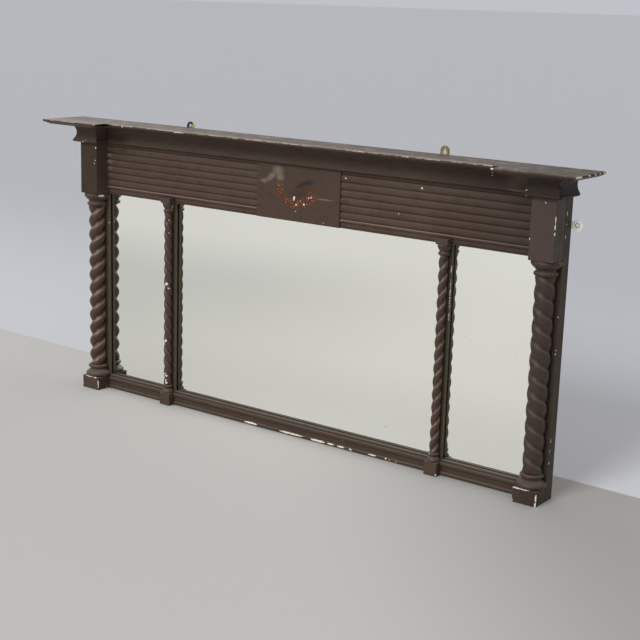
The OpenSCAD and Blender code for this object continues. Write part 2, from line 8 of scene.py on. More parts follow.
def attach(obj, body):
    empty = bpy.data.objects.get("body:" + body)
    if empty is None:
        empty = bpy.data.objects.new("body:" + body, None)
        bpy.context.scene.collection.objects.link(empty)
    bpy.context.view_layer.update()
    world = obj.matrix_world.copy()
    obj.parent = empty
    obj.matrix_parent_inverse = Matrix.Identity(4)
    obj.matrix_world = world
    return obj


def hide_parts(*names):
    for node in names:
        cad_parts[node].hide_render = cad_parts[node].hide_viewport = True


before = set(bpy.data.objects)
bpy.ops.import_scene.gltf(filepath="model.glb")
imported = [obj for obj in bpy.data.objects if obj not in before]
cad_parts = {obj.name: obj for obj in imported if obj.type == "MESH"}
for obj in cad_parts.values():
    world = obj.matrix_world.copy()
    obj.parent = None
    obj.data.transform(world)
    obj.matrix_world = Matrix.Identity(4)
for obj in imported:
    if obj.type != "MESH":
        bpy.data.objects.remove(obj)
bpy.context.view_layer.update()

# ---- Camera ----
# Stands at eye height to the right of the mirror and looks down on it, as in the photograph.
# The place and the turn are a fit to the mirror's corners. The matrix's columns are the
# camera's right, up and back, and its place in metres.
camera_data = bpy.data.cameras.new("camera")
camera_data.sensor_width = 36
camera_data.lens = 75.44
camera = bpy.data.objects.new("camera", camera_data)
camera.matrix_world = Matrix((
    (0.80452657, -0.16099241, 0.57168036, 1.65183),
    (0.5931285, 0.16822039, -0.78733759, -2.15493),
    (0.03058708, 0.97251393, 0.23082696, 0.90703),
    (0, 0, 0, 1)))
bpy.context.scene.collection.objects.link(camera)
bpy.context.scene.camera = camera
bpy.context.scene.view_settings.view_transform = "Standard"


# ---- Floor, background and light ----
# A plain pale floor. Behind the mirror it turns to the cool grey of the wall, so that
# the background has the photograph's colours and the back of the mirror stays in view.
def linear(code):
    """An sRGB colour written as six hex digits, in linear values."""
    parts = [int(code[i:i + 2], 16) / 255 for i in (0, 2, 4)]
    return tuple(c / 12.92 if c <= 0.04045 else ((c + 0.055) / 1.055) ** 2.4
                 for c in parts) + (1,)


def feed(tree, node, inputs):
    """Gives a node's sockets a value, a colour's hex code, or the output that feeds them."""
    for key, value in inputs.items():
        if isinstance(value, bpy.types.NodeSocket):
            tree.links.new(value, node.inputs[key])
        else:
            node.inputs[key].default_value = linear(value) if isinstance(value, str) else value


def add(tree, kind, inputs={}, out=0, **settings):
    """Adds a node with its settings and links, and gives one of its outputs."""
    node = tree.nodes.new("ShaderNode" + kind)
    for name, value in settings.items():
        setattr(node, name, value)
    feed(tree, node, inputs)
    return node.outputs[out] if node.outputs else None


# Settings that many nodes share. A map range takes a value (0) and the two ends it is read
# between (1, 2), and gives two others there (3, 4): with SOFT it is a smooth step. A mix with
# COLOURS takes the share of the second colour (0), the first (6) and the second (7).
SOFT = {"interpolation_type": "SMOOTHSTEP"}
COLOURS = {"data_type": "RGBA", "out": 2}


def together(tree, *steps):
    """How far some soft steps hold at once. A step is a value, where the step is nothing, where
    it is full, and how much it then is, if not 1."""
    share = None
    for value, low, high, *most in steps:
        step = add(tree, "MapRange", {0: value, 1: low, 2: high, 4: most[0] if most else 1}, **SOFT)
        share = step if share is None else add(tree, "Math", {0: share, 1: step},
                                               operation="MULTIPLY")
    return share


def coat(tree, under, over, *step):
    """Lays one colour over another, as far as a soft step goes."""
    return add(tree, "Mix", {0: together(tree, step), 6: under, 7: over}, **COLOURS)


def new_material(name):
    """An empty node material, with its shader and its output."""
    made = bpy.data.materials.new(name)
    made.use_nodes = True
    tree = made.node_tree
    tree.nodes.clear()
    shader = add(tree, "BsdfPrincipled").node
    add(tree, "OutputMaterial", {"Surface": shader.outputs["BSDF"]})
    return made, tree, shader


floor_paint, tree, shader = new_material("plain_floor_paint")
place = add(tree, "TexCoord", out="Object")
axes = add(tree, "SeparateXYZ", {0: place}).node.outputs
# How far behind the mirror a point lies. The wall's foot runs a little aslant.
behind = add(tree, "Math", {0: axes["X"], 1: 0.0333, 2: axes["Y"]}, operation="MULTIPLY_ADD")
# Close behind the mirror the wall is painted paler, as painted light that offsets the mirror's
# shadow there.
wall = coat(tree, "d8dae0", "c3c5cb", behind, 0.2, 2.2)
# The floor is painted darker towards the right and the back, as painted shade.
slant = add(tree, "Math", {0: axes["X"], 1: axes["Y"]}, operation="ADD")
near = coat(tree, "d0ceca", "aeaca9", slant, -0.1, 0.8)
seen = coat(tree, near, wall, behind, 0.195, 0.203)
# The mirror shows the rest of the room, which is paler, and darker again at the mirror's foot.
room = coat(tree, "dcddd8", "f3f1ea", axes["X"], -1.3, -0.1)
room = coat(tree, "f3f3ee", room, behind, -1.9, -1.0)
room = coat(tree, room, "e4e4df", behind, -0.6, -0.1)
glossy = add(tree, "LightPath", out="Is Glossy Ray")
colour = add(tree, "Mix", {0: glossy, 6: seen, 7: room}, **COLOURS)
feed(tree, shader, {"Base Color": colour, "Roughness": 0.75, "Specular IOR Level": 0.2})
# The floor runs on for 300 m each way, to the horizon.
floor_bm = bmesh.new()
bmesh.ops.create_grid(floor_bm, x_segments=8, y_segments=8, size=300)
floor_mesh = bpy.data.meshes.new("floor")
floor_bm.to_mesh(floor_mesh)
floor_bm.free()
floor_mesh.materials.append(floor_paint)
floor = bpy.data.objects.new("floor", floor_mesh)
bpy.context.scene.collection.objects.link(floor)

# The world lights the scene evenly. The camera, the glass and the brass see it as the wall.
world = bpy.data.worlds.new("studio")
world.use_nodes = True
world.node_tree.nodes.clear()
tree = world.node_tree
ray = add(tree, "LightPath").node.outputs
mirrored = add(tree, "Math", {0: ray["Is Glossy Ray"], 1: ray["Is Transmission Ray"]},
               operation="MAXIMUM")
backdrop = add(tree, "Math", {0: ray["Is Camera Ray"], 1: mirrored}, operation="MAXIMUM")
ambient = add(tree, "Background", {"Color": (1, 1, 1, 1), "Strength": 0.55})
shown = add(tree, "Background", {"Color": "bfc2c8", "Strength": 1})
both = add(tree, "MixShader", {0: backdrop, 1: ambient, 2: shown})
add(tree, "OutputWorld", {"Surface": both})
bpy.context.scene.world = world

# A broad, soft light from high in front, and a little from the left.
sun = bpy.data.lights.new("key_light", "SUN")
sun.angle = 0.45
sun.energy = 1.7
lamp = bpy.data.objects.new("key_light", sun)
lamp.matrix_world = Vector((-0.12, -0.85, 0.53)).to_track_quat("Z", "Y").to_matrix().to_4x4()
bpy.context.scene.collection.objects.link(lamp)


# ---- Back frame ----
# Pine stiles, rails and mullions, mortised together, and rebated for the glass. Fronts and
# sides are painted, the back is bare. The shapes are the CAD's, with their arrises softened.
# All measures are in millimetres from the frame's face, with -Y forward.
FACE = 34.5          # how far back the frame's face lies, in the part's own Y
HALF_W, FRAME_T, FRAME_TOP = 600, 27, 620
STILE_IN, MULLION_X, MULLION_HALF, SIGHT, SIGHT_TOP = 549.5, 356, 13.5, 32, 464


def spots_near(tree, point, spots):
    """Distance to the nearest spot, where 1 is its rim. A spot is its middle, its half sizes
    and, where it lies at a slant, its turn about Y in degrees."""
    nearest = None
    for middle, sizes, *turn in spots:
        x, y, z = middle
        local = add(tree, "Mapping",
                    {"Vector": point, "Location": (x / 1000, (y + FACE) / 1000, z / 1000),
                     "Rotation": (0, math.radians(turn[0]) if turn else 0, 0),
                     "Scale": [s / 1000 for s in sizes]}, vector_type="TEXTURE")
        away = add(tree, "VectorMath", {0: local}, out="Value", operation="LENGTH")
        nearest = away if nearest is None else add(tree, "Math", {0: nearest, 1: away},
                                                   operation="MINIMUM")
    return nearest


def facing(tree, axis):
    """How far the surface looks along an axis, from -1 to 1."""
    normal = add(tree, "NewGeometry", out="Normal")
    return add(tree, "SeparateXYZ", {0: normal}, out=axis)


def brown_paint(name, along, chips=(), tone="4a3d35", warm="4c3a32", dust=0.35, extra=None,
                sheen=0.12, right_end_shade=(0.5, 0.6, 0.3)):
    """Old dark brown oil paint over gesso on pine. It is brushed along one axis, which leaves
    fine streaks. It is browner where it has rubbed thin, and grey with dust on what faces up.
    Chips show the cream gesso. extra adds marks of one piece's own. right_end_shade is where along
    X, in metres, painted shade begins and is full, and how much of it there is: the right end is
    darkest."""
    made, tree, shader = new_material(name)
    point = add(tree, "TexCoord", out="Object")
    # Clouds about 70 mm and 25 mm wide, brush streaks 1.2 mm wide and 50 mm long, and a grain
    # of 2.4 mm.
    cloud = add(tree, "TexNoise", {"Vector": point, "Scale": 14, "Detail": 4})
    patch = add(tree, "TexNoise", {"Vector": point, "Scale": 38, "Detail": 5, "Roughness": 0.6})
    scales = {"x": (20, 830, 830), "y": (830, 20, 830), "z": (830, 830, 20)}[along]
    drawn = add(tree, "Mapping", {"Vector": point, "Scale": scales})
    brush = add(tree, "TexNoise", {"Vector": drawn, "Scale": 1, "Detail": 3})
    fine = add(tree, "TexNoise", {"Vector": point, "Scale": 420, "Detail": 3})
    colour = coat(tree, tone, warm, cloud, 0.35, 0.7)
    colour = coat(tree, colour, "3a302a", patch, 0.45, 0.75, 0.55)
    colour = coat(tree, colour, "594a40", brush, 0.3, 0.7, 0.3)
    # Dust: none on a face that looks sideways or down, most on one that looks up.
    uneven = add(tree, "MapRange", {0: patch, 1: 0.2, 2: 0.7, 3: 0.55}, **SOFT)
    settled = add(tree, "Math", {0: together(tree, (facing(tree, "Z"), 0.25, 0.95, dust)),
                                 1: uneven}, operation="MULTIPLY")
    colour = add(tree, "Mix", {0: settled, 6: colour, 7: "7d7066"}, **COLOURS)
    height = add(tree, "Math", {0: brush, 1: 0.5, 2: fine}, operation="MULTIPLY_ADD")
    rough = add(tree, "MapRange", {0: patch, 1: 0.3, 2: 0.8, 3: 0.42, 4: 0.6})
    if extra:
        colour = extra(tree, point, colour)
    # Painted shade: the paint darkens towards the right-hand end.
    along_x = add(tree, "SeparateXYZ", {0: point}, out="X")
    colour = coat(tree, colour, "1d1714", along_x, right_end_shade[0], right_end_shade[1], right_end_shade[2])
    if chips:
        # The rim of a chip wanders by about 1.5 mm, and is dark with dirt.
        jag = add(tree, "TexNoise", {"Vector": point, "Scale": 300, "Detail": 3}, out=1)
        off = add(tree, "VectorMath", {0: jag, 1: (0.5, 0.5, 0.5)}, operation="SUBTRACT")
        torn = add(tree, "VectorMath", {0: off, 1: (0.005, 0.005, 0.005), 2: point},
                   operation="MULTIPLY_ADD")
        away = spots_near(tree, torn, chips)
        lost = together(tree, (away, 1.05, 0.9))
        gesso = add(tree, "Mix", {0: fine, 6: "f4e9df", 7: "dccdbd"}, **COLOURS)
        colour = coat(tree, colour, "2c231e", away, 1.5, 1.0, 0.6)
        colour = add(tree, "Mix", {0: lost, 6: colour, 7: gesso}, **COLOURS)
        height = add(tree, "Math", {0: lost, 1: -3, 2: height}, operation="MULTIPLY_ADD")
        rough = add(tree, "Math", {0: rough, 1: lost}, operation="MAXIMUM")
    bump = add(tree, "Bump", {"Height": height, "Strength": 0.35, "Distance": 0.0004})
    feed(tree, shader, {"Base Color": colour, "Roughness": rough, "Normal": bump,
                        "Specular IOR Level": sheen})
    return made


def bare_pine(name, along):
    """Pine, planed and left bare, gone brown with age. Its grain is dark lines 2 to 5 mm apart."""
    made, tree, shader = new_material(name)
    point = add(tree, "TexCoord", out="Object")
    scales = {"x": (1.6, 60, 60), "z": (60, 60, 1.6)}[along]
    drawn = add(tree, "Mapping", {"Vector": point, "Scale": scales})
    figure = add(tree, "TexNoise", {"Vector": drawn, "Scale": 1, "Detail": 2})
    rings = add(tree, "Math", {0: figure, 1: 34}, operation="MULTIPLY")
    wave = add(tree, "Math", {0: rings}, operation="SINE")
    # Fibres 1.2 mm wide and 45 mm long, and stains about 140 mm wide.
    fibre_at = add(tree, "Mapping", {"Vector": point, "Scale": [s * 14 for s in scales]})
    fibre = add(tree, "TexNoise", {"Vector": fibre_at, "Scale": 1, "Detail": 3})
    stain = add(tree, "TexNoise", {"Vector": point, "Scale": 7, "Detail": 4})
    colour = coat(tree, "b28c5e", "80592f", wave, 0.1, 0.95, 0.6)
    colour = coat(tree, colour, "8f6a41", fibre, 0.35, 0.7, 0.35)
    colour = coat(tree, colour, "6b4a2c", stain, 0.45, 0.75, 0.55)
    bump = add(tree, "Bump", {"Height": fibre, "Strength": 0.3, "Distance": 0.0004})
    feed(tree, shader, {"Base Color": colour, "Roughness": 0.72, "Normal": bump})
    return made


def from_node(node):
    """A copy of a CAD node's mesh, merged to whole faces, in millimetres from the frame's face."""
    bm = bmesh.new()
    bm.from_mesh(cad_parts[node].data)
    bmesh.ops.scale(bm, vec=(1000, 1000, 1000), verts=bm.verts)
    bmesh.ops.translate(bm, vec=(0, -FACE, 0), verts=bm.verts)
    bmesh.ops.remove_doubles(bm, verts=bm.verts, dist=0.005)
    bmesh.ops.dissolve_limit(bm, angle_limit=math.radians(1), verts=bm.verts, edges=bm.edges)
    return bm


def soften(bm, edges, width, segments=2):
    """Rounds some edges. The new faces are smooth, and the flat ones stay flat."""
    made = bmesh.ops.bevel(bm, geom=list(edges), offset=width, offset_type="OFFSET",
                           segments=segments, profile=0.5, affect="EDGES", material=-1,
                           clamp_overlap=True)
    for face in made["faces"]:
        face.smooth = True


def outer_edges(bm):
    """The edges, longer than 15 mm, that lie along two sides of the mesh's own box."""
    lows = [min(v.co[i] for v in bm.verts) for i in range(3)]
    highs = [max(v.co[i] for v in bm.verts) for i in range(3)]
    found = []
    for edge in bm.edges:
        sides = sum(all(abs(v.co[i] - limit) < 0.02 for v in edge.verts)
                    for i in range(3) for limit in (lows[i], highs[i]))
        if sides >= 2 and edge.calc_length() > 15:
            found.append(edge)
    return found


def place_piece(name, bm, materials, slot, *nodes):
    """Sets a mesh down in the part's own frame, and lets it stand for its CAD nodes."""
    bmesh.ops.translate(bm, vec=(0, FACE, 0), verts=bm.verts)
    bmesh.ops.scale(bm, vec=(0.001, 0.001, 0.001), verts=bm.verts)
    mesh = bpy.data.meshes.new(name)
    bm.to_mesh(mesh)
    bm.free()
    for made in materials:
        mesh.materials.append(made)
    piece = bpy.data.objects.new(name, mesh)
    bpy.context.scene.collection.objects.link(piece)
    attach(piece, "root")
    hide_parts(*nodes)


def left_frame_and_lip_light(tree, point, colour):
    """Greener paint on the left-hand frame, made paler as painted light where the columns shade
    it, and grey on the lips' sides at the glass, as painted light on those shaded sides.
    """
    at = add(tree, "SeparateXYZ", {0: point}, out="X")
    away = add(tree, "Math", {0: at}, operation="ABSOLUTE")
    across = add(tree, "Math", {0: facing(tree, "X")}, operation="ABSOLUTE")
    inside = together(tree, (across, 0.7, 0.9, 0.8), (away, 0.57, 0.56))
    colour = coat(tree, colour, "5c5040", at, -0.4, -0.5, 0.4)
    return add(tree, "Mix", {0: inside, 6: colour, 7: "625c4d"}, **COLOURS)


paint_upright = brown_paint("brown_paint_uprights", "z", [
    ((600, 6, 550), (2, 1.1, 4)), ((600, 6, 530), (2, 1.1, 1.4)), ((600, 5, 507), (2, 1, 3)),
    ((600, 6, 76), (2, 2, 2.5)), ((600, 7, 120), (1.5, 1, 4)), ((600, 5, 100), (1.5, 1, 2)),
    ((600, 0, 359), (1.5, 1.5, 1.6)), ((600, 0, 297), (1, 1, 1.4)),
    ((600, 0, 290), (1.2, 1.2, 2.2)), ((-549.5, 2, 395), (1.5, 2, 2)),
    ((369.5, 0, 418), (0.8, 1.2, 14)), ((369.5, 0, 365), (0.8, 1.2, 34)),
    ((369.5, 0, 322), (0.7, 1, 12))],
    tone="443a30", warm="43362c", dust=0.6, extra=left_frame_and_lip_light, right_end_shade=(0.3, 0.6, 0.35))
paint_level = brown_paint("brown_paint_rails", "x", dust=0.6)
pine_upright = bare_pine("bare_pine_uprights", "z")
pine_level = bare_pine("bare_pine_rails", "x")
for node in ("stile_left", "stile_right", "mullion_left", "mullion_right", "top_rail",
             "bottom_rail"):
    paint, pine = (paint_level, pine_level) if "rail" in node else (paint_upright, pine_upright)
    bm = from_node(node)
    soften(bm, outer_edges(bm), 0.9)
    bm.normal_update()
    for face in bm.faces:
        face.material_index = int(face.normal.y > 0.9 and face.calc_center_median().y > 20)
    place_piece(node + "_wood", bm, (paint, pine), "painted_frame", node)


# ---- Mirror plates ----
# Three plates of silvered glass, lying in the rebates behind the frame's lips. What the eye sees
# is the silvering at the back, clear and a little grey, with a few specks where it has foxed.
GLASS_UNDER, GLASS_FRONT, GLASS_BACK = 6, 9.8, 11
silvering, tree, shader = new_material("silvered_glass")
point = add(tree, "TexCoord", out="Object")
# Haze in clouds about 330 mm wide, and specks 2 to 4 mm wide, in patches of about 110 mm.
haze = add(tree, "TexNoise", {"Vector": point, "Scale": 3, "Detail": 3})
speck = add(tree, "TexVoronoi", {"Vector": point, "Scale": 45}, out="Distance")
where = add(tree, "TexNoise", {"Vector": point, "Scale": 9, "Detail": 2})
foxed = together(tree, (speck, 0.09, 0.05), (where, 0.6, 0.68))
colour = add(tree, "Mix", {0: haze, 6: "f1f1ed", 7: "eaeae6"}, **COLOURS)
colour = add(tree, "Mix", {0: foxed, 6: colour, 7: "a9a59c"}, **COLOURS)
rough = add(tree, "MapRange", {0: haze, 1: 0.3, 2: 0.8, 3: 0.012, 4: 0.03})
feed(tree, shader, {"Base Color": colour, "Roughness": rough, "Metallic": 1})


def board(low, high, width=0, segments=2):
    """A board between two corners, with its arrises softened."""
    bm = bmesh.new()
    bmesh.ops.create_cube(bm, size=1)
    bmesh.ops.scale(bm, vec=[b - a for a, b in zip(low, high)], verts=bm.verts)
    bmesh.ops.translate(bm, vec=[(a + b) / 2 for a, b in zip(low, high)], verts=bm.verts)
    if width:
        soften(bm, bm.edges, width, segments)
    return bm


MULLION_IN, MULLION_OUT = MULLION_X - MULLION_HALF, MULLION_X + MULLION_HALF
openings = {"left": (-STILE_IN, -MULLION_OUT), "centre": (-MULLION_IN, MULLION_IN),
            "right": (MULLION_OUT, STILE_IN)}
for side, (x0, x1) in openings.items():
    bm = board((x0 - GLASS_UNDER, GLASS_FRONT, SIGHT - GLASS_UNDER),
               (x1 + GLASS_UNDER, GLASS_BACK, SIGHT_TOP + GLASS_UNDER), 0.3)
    place_piece("silvered_plate_" + side, bm, (silvering,), "silvered_glass",
                "mirror_glass_" + side)


# ---- Backboards, glazing blocks and pins ----
# Thin pine boards close the back. Softwood blocks behind the glass hold them off it, and a
# pin with a small rusty head goes through the board into each block.
pine_board = bare_pine("bare_pine_boards", "x")
for side, (x0, x1) in openings.items():
    bm = from_node("backboard_" + side)
    soften(bm, outer_edges(bm), 0.8)
    place_piece("pine_board_" + side, bm, (pine_board,), "bare_pine", "backboard_" + side)

# Cut iron, dark grey and half matt, with rust in spots about 2 mm wide.
iron, tree, shader = new_material("rusty_cut_iron")
point = add(tree, "TexCoord", out="Object")
rust = add(tree, "TexNoise", {"Vector": point, "Scale": 500, "Detail": 3})
colour = coat(tree, "5a534d", "6e4630", rust, 0.4, 0.6)
rough = add(tree, "MapRange", {0: rust, 1: 0.4, 2: 0.6, 3: 0.45, 4: 0.8})
feed(tree, shader, {"Base Color": colour, "Roughness": rough, "Metallic": 0.6})
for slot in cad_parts["glazing_blocks"].material_slots:
    slot.material = pine_board
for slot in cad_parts["panel_pins"].material_slots:
    slot.material = iron


# ---- End blocks ----
# Pine blocks at the ends of the frieze, 50.5 by 38 mm in plan, painted. They carry the outer
# corners of the crown moulding. Their arrises are worn, with gesso showing in places.
BLOCK_IN, BLOCK_D = STILE_IN, 38


def wear(bm, size, amount):
    """Moves each corner a little, as hand work and age do. size is how wide the waves are."""
    for vert in bm.verts:
        vert.co += noise.noise_vector(vert.co / size) * amount
        vert.co.z = max(vert.co.z, 0)


def left_tint_and_side_light(tree, point, colour):
    """The left-hand block is browner in front, and paler on its inner side, as painted light on
    that side.
    """
    at = add(tree, "SeparateXYZ", {0: point}, out="X")
    here = coat(tree, "3a2c24", "5c4c43", facing(tree, "X"), 0.6, 0.9)
    return coat(tree, colour, here, at, -0.4, -0.5, 0.8)


paint_block = brown_paint("brown_paint_blocks", "z", [
    ((600, -38, 543), (1.4, 1.4, 7)), ((600, -38, 531), (1.7, 1.7, 7)),
    ((600, -38, 518), (1.5, 1.5, 3.6)), ((577.7, -38, 571.6), (1.1, 2, 1.1)),
    ((550, -38, 502.7), (1.2, 2, 2.2)),
    ((-552, -38, 569.8), (1.6, 2, 2)), ((-593, -38, 580.8), (2, 2, 1.2)),
    ((-554.2, -38, 541.3), (1.4, 2, 1.4)), ((-556, -38, 534.3), (1.3, 2, 1.3))],
    tone="4a3f3c", warm="4b3f3b", extra=left_tint_and_side_light, right_end_shade=(0.5, 0.6, 0.05))
for side, sign in (("left", -1), ("right", 1)):
    x0, x1 = sorted((sign * BLOCK_IN, sign * HALF_W))
    bm = board((x0, -BLOCK_D, SIGHT_TOP), (x1, 0, FRAME_TOP))
    upright = [e for e in bm.edges if abs(e.verts[0].co.z - e.verts[1].co.z) > 1]
    bmesh.ops.subdivide_edges(bm, edges=upright, cuts=30, use_grid_fill=True)
    soften(bm, [e for e in bm.edges if len(e.link_faces) == 2 and e.calc_face_angle() > 1], 1.1, 3)
    wear(bm, 9, 0.16)
    place_piece("painted_block_" + side, bm, (paint_block,), "painted_frame", "end_block_" + side)


# ---- Reeded panels and the moulding under them ----
# Seven reeds, 15 mm apart, planed side by side on a thin pine facing, and below them a flat
# with a bead on it. The paint has filled the grooves a little.
TABLET_IN, BEAD_Z, PANEL_Z, CROWN_Z = 107, 475.5, 482, 581
PANEL_T, REED_W, REED_RISE = 5, 15, 3.5


def arc(cx, cy, r, a0, a1, n):
    """Points on part of a circle, from the angle a0 to a1 in degrees."""
    return [(cx + r * math.cos(math.radians(a0 + (a1 - a0) * i / n)),
             cy + r * math.sin(math.radians(a0 + (a1 - a0) * i / n))) for i in range(n + 1)]


def smooth_between(bm, sharpest):
    """Makes a mesh look smooth, except over edges that turn by more than some degrees."""
    for face in bm.faces:
        face.smooth = True
    for edge in bm.edges:
        if len(edge.link_faces) == 2 and edge.calc_face_angle() > math.radians(sharpest):
            edge.smooth = False


def moulding(profile, x0, x1, cuts):
    """A length of moulding. Its profile of (forward, up) points is run along X."""
    bm = bmesh.new()
    end = bm.faces.new([bm.verts.new((x0, -forward, up)) for forward, up in profile])
    made = bmesh.ops.extrude_face_region(bm, geom=[end])["geom"]
    bmesh.ops.translate(bm, vec=(x1 - x0, 0, 0),
                        verts=[v for v in made if isinstance(v, bmesh.types.BMVert)])
    bmesh.ops.recalc_face_normals(bm, faces=bm.faces)
    along = [e for e in bm.edges if abs(e.verts[0].co.x - e.verts[1].co.x) > 1]
    bmesh.ops.subdivide_edges(bm, edges=along, cuts=cuts, use_grid_fill=True)
    smooth_between(bm, 35)
    return bm


def mirrored_copy(bm):
    """Turns a right-hand mesh into the left-hand one."""
    bmesh.ops.scale(bm, vec=(-1, 1, 1), verts=bm.verts)
    bmesh.ops.reverse_faces(bm, faces=bm.faces)


def grooves(tree, point, colour):
    """Darker between the reeds, a painted shadow under the crown, and dust on the bead's upper
    side.
    """
    axes = add(tree, "SeparateXYZ", {0: point}).node.outputs
    height = axes["Z"]
    # How far up its own reed a point lies, from 0 to 1.
    reed = add(tree, "Math", {0: height, 1: 1000 / REED_W, 2: -PANEL_Z / REED_W},
               operation="MULTIPLY_ADD")
    reed = add(tree, "Math", {0: reed}, operation="FRACT")
    crease_darkening = together(tree, (reed, 0.14, 0.0))
    # Darker between the reeds, and a painted shadow along the top, under the crown.
    for step in ((reed, 0.9, 1.0), (height, 0.576, 0.581)):
        crease_darkening = add(tree, "Math", {0: crease_darkening, 1: together(tree, step)}, operation="MAXIMUM")
    crease_darkening = add(tree, "Math", {0: crease_darkening, 1: 0.65}, operation="MULTIPLY")
    colour = add(tree, "Mix", {0: crease_darkening, 6: colour, 7: "211712"}, **COLOURS)
    bead = together(tree, (facing(tree, "Z"), 0.3, 0.8, 0.8), (height, 0.4835, 0.482))
    colour = add(tree, "Mix", {0: bead, 6: colour, 7: "94837a"}, **COLOURS)
    # The upper reeds are paler on their crests next to the left-hand block.
    end = together(tree, (axes["X"], -0.528, -0.545, 0.8), (height, 0.49, 0.56), (reed, 0.35, 0.65))
    return add(tree, "Mix", {0: end, 6: colour, 7: "857668"}, **COLOURS)


paint_reeds = brown_paint("brown_paint_reeds", "x", [
    ((298, -5, 565), (1.9, 3, 2)), ((246.5, -5, 509.5), (2.5, 3, 0.7)),
    ((118, -5, 566), (2, 3, 1.2)), ((540, -5, 575), (1.2, 3, 3))],
    tone="52433a", warm="4d3c32", dust=0.5, extra=grooves, right_end_shade=(0.25, 0.56, 0.4))
reed_r = ((REED_W / 2) ** 2 + REED_RISE ** 2) / (2 * REED_RISE)
half = math.degrees(math.asin(REED_W / 2 / reed_r))
reeds = [(0, PANEL_Z)]
# The paint that fills the grooves cuts each reed off 3 degrees early.
for i in range(7):
    middle = PANEL_Z + REED_W * (i + 0.5)
    points = arc(PANEL_T - reed_r, middle, reed_r, -half + 3, half - 3, 10)
    reeds += [p for p in points if p[1] < CROWN_Z]
reeds += [(PANEL_T, CROWN_Z), (0, CROWN_Z)]
# The flat stands 2 mm forward, and the bead 6 mm.
under = [(0, SIGHT_TOP), (2, SIGHT_TOP), (2, BEAD_Z)]
under += arc(2.75, (BEAD_Z + PANEL_Z) / 2, 3.25, -80, 80, 8)
under += [(0, PANEL_Z)]
for side in ("left", "right"):
    for name, profile, node in (("painted_reeds_", reeds, "reeded_panel_"),
                                ("painted_bead_", under, "frieze_bead_")):
        bm = moulding(profile, TABLET_IN, BLOCK_IN, 50)
        wear(bm, 24, 0.2)
        if side == "left":
            mirrored_copy(bm)
        place_piece(name + side, bm, (paint_reeds,), "painted_trim", node + side)


# ---- Tablet ----
# A plain pine tablet in the middle of the frieze. An ornament once stuck to it has left a scar
# of reddish paint and gesso, with a scuffed grey patch beside it.
TABLET_T = 7


def scar(tree, point, colour):
    """A torn half ring of reddish old paint and gesso, with grey, brown and dark smears."""
    # The edges are torn in waves of about 8 mm, and the flakes are about 1.3 mm wide.
    torn = add(tree, "TexNoise", {"Vector": point, "Scale": 130, "Detail": 5, "Roughness": 0.65})
    grain = add(tree, "TexNoise", {"Vector": point, "Scale": 760, "Detail": 3})
    for spots, shade, most in (
            ([((-52, -7, 565), (15, 9, 12)), ((-47, -7, 553), (12, 9, 9)),
              ((-70, -7, 551), (19, 9, 7), -38), ((-88, -7, 541), (10, 9, 5), -10)], "86786c", 0.6),
            ([((24, -7, 546), (19, 9, 7), -14), ((8, -7, 540), (16, 9, 4), -28)], "28282c", 0.8),
            ([((22, -7, 533), (26, 9, 9), -8)], "54301f", 0.6),
            ([((68, -7, 517.3), (22, 9, 1.6))], "86786c", 0.6),
            ([((6, -7, 520), (34, 9, 12))], "40302a", 0.7)):
        away = add(tree, "Math", {0: torn, 1: -1.2, 2: spots_near(tree, point, spots)},
                   operation="MULTIPLY_ADD")
        colour = coat(tree, colour, shade, away, 0.75, -0.35, most)
    # The ring: an ellipse 92 mm by 66 mm, of which only the lower half is left.
    reach = spots_near(tree, point, [((-2.6, -7, 533.4), (46, 1000, 33))])
    off_line = add(tree, "Math", {0: reach, 1: 1}, operation="SUBTRACT")
    off_line = add(tree, "Math", {0: off_line}, operation="ABSOLUTE")
    off_line = add(tree, "Math", {0: torn, 1: -0.9, 2: off_line}, operation="MULTIPLY_ADD")
    axes = add(tree, "SeparateXYZ", {0: point}).node.outputs
    height = add(tree, "Math", {0: axes["X"], 1: 0.18, 2: axes["Z"]}, operation="MULTIPLY_ADD")
    ring = together(tree, (off_line, -0.12, -0.28), (height, 0.538, 0.527))
    bits = coat(tree, "38231b", "6d402d", grain, 0.42, 0.6)
    bits = coat(tree, bits, "a8724f", grain, 0.6, 0.66)
    bits = coat(tree, bits, "f3e0bd", grain, 0.64, 0.67)
    return add(tree, "Mix", {0: ring, 6: colour, 7: bits}, **COLOURS)


paint_tablet = brown_paint("brown_paint_tablet", "x", [
    ((-8.6, -7, 512), (2.2, 2, 4.6), 20), ((-2.5, -7, 499.5), (1.8, 2, 2.2)),
    ((17.3, -7, 502), (2.4, 2, 2.2)), ((8, -7, 508), (1.3, 2, 1.2)),
    ((28.5, -7, 516.4), (1.5, 2, 1.4)), ((35.4, -7, 517.9), (2.2, 2, 1)),
    ((-49.5, -7, 534.9), (1.3, 2, 1.2)), ((-3.8, -7, 485.9), (1.1, 2, 0.9)),
    ((68, -7, 469.4), (1.2, 2, 0.9))], tone="493b34", warm="4d3d34", extra=scar)
bm = board((-TABLET_IN, -TABLET_T, SIGHT_TOP), (TABLET_IN, 0, CROWN_Z), 1.0, 3)
place_piece("painted_tablet", bm, (paint_tablet,), "painted_frame", "tablet")


# ---- Crown moulding ----
# A hollow face, 39 mm high, over a rounded lip. It is mitred round the end blocks, in seven
# lengths, and painted.
CROWN_TOP, CROWN_H = 15, 39


def corner_light(tree, point, colour):
    """Paler paint where the centre length meets the right-hand block, as painted light that lifts
    the shadow in that corner.
    """
    axes = add(tree, "SeparateXYZ", {0: point}).node.outputs
    here = together(tree, (axes["X"], 0.475, 0.51, 0.8), (axes["Y"], 0.004, 0.012))
    return add(tree, "Mix", {0: here, 6: colour, 7: "82705f"}, **COLOURS)


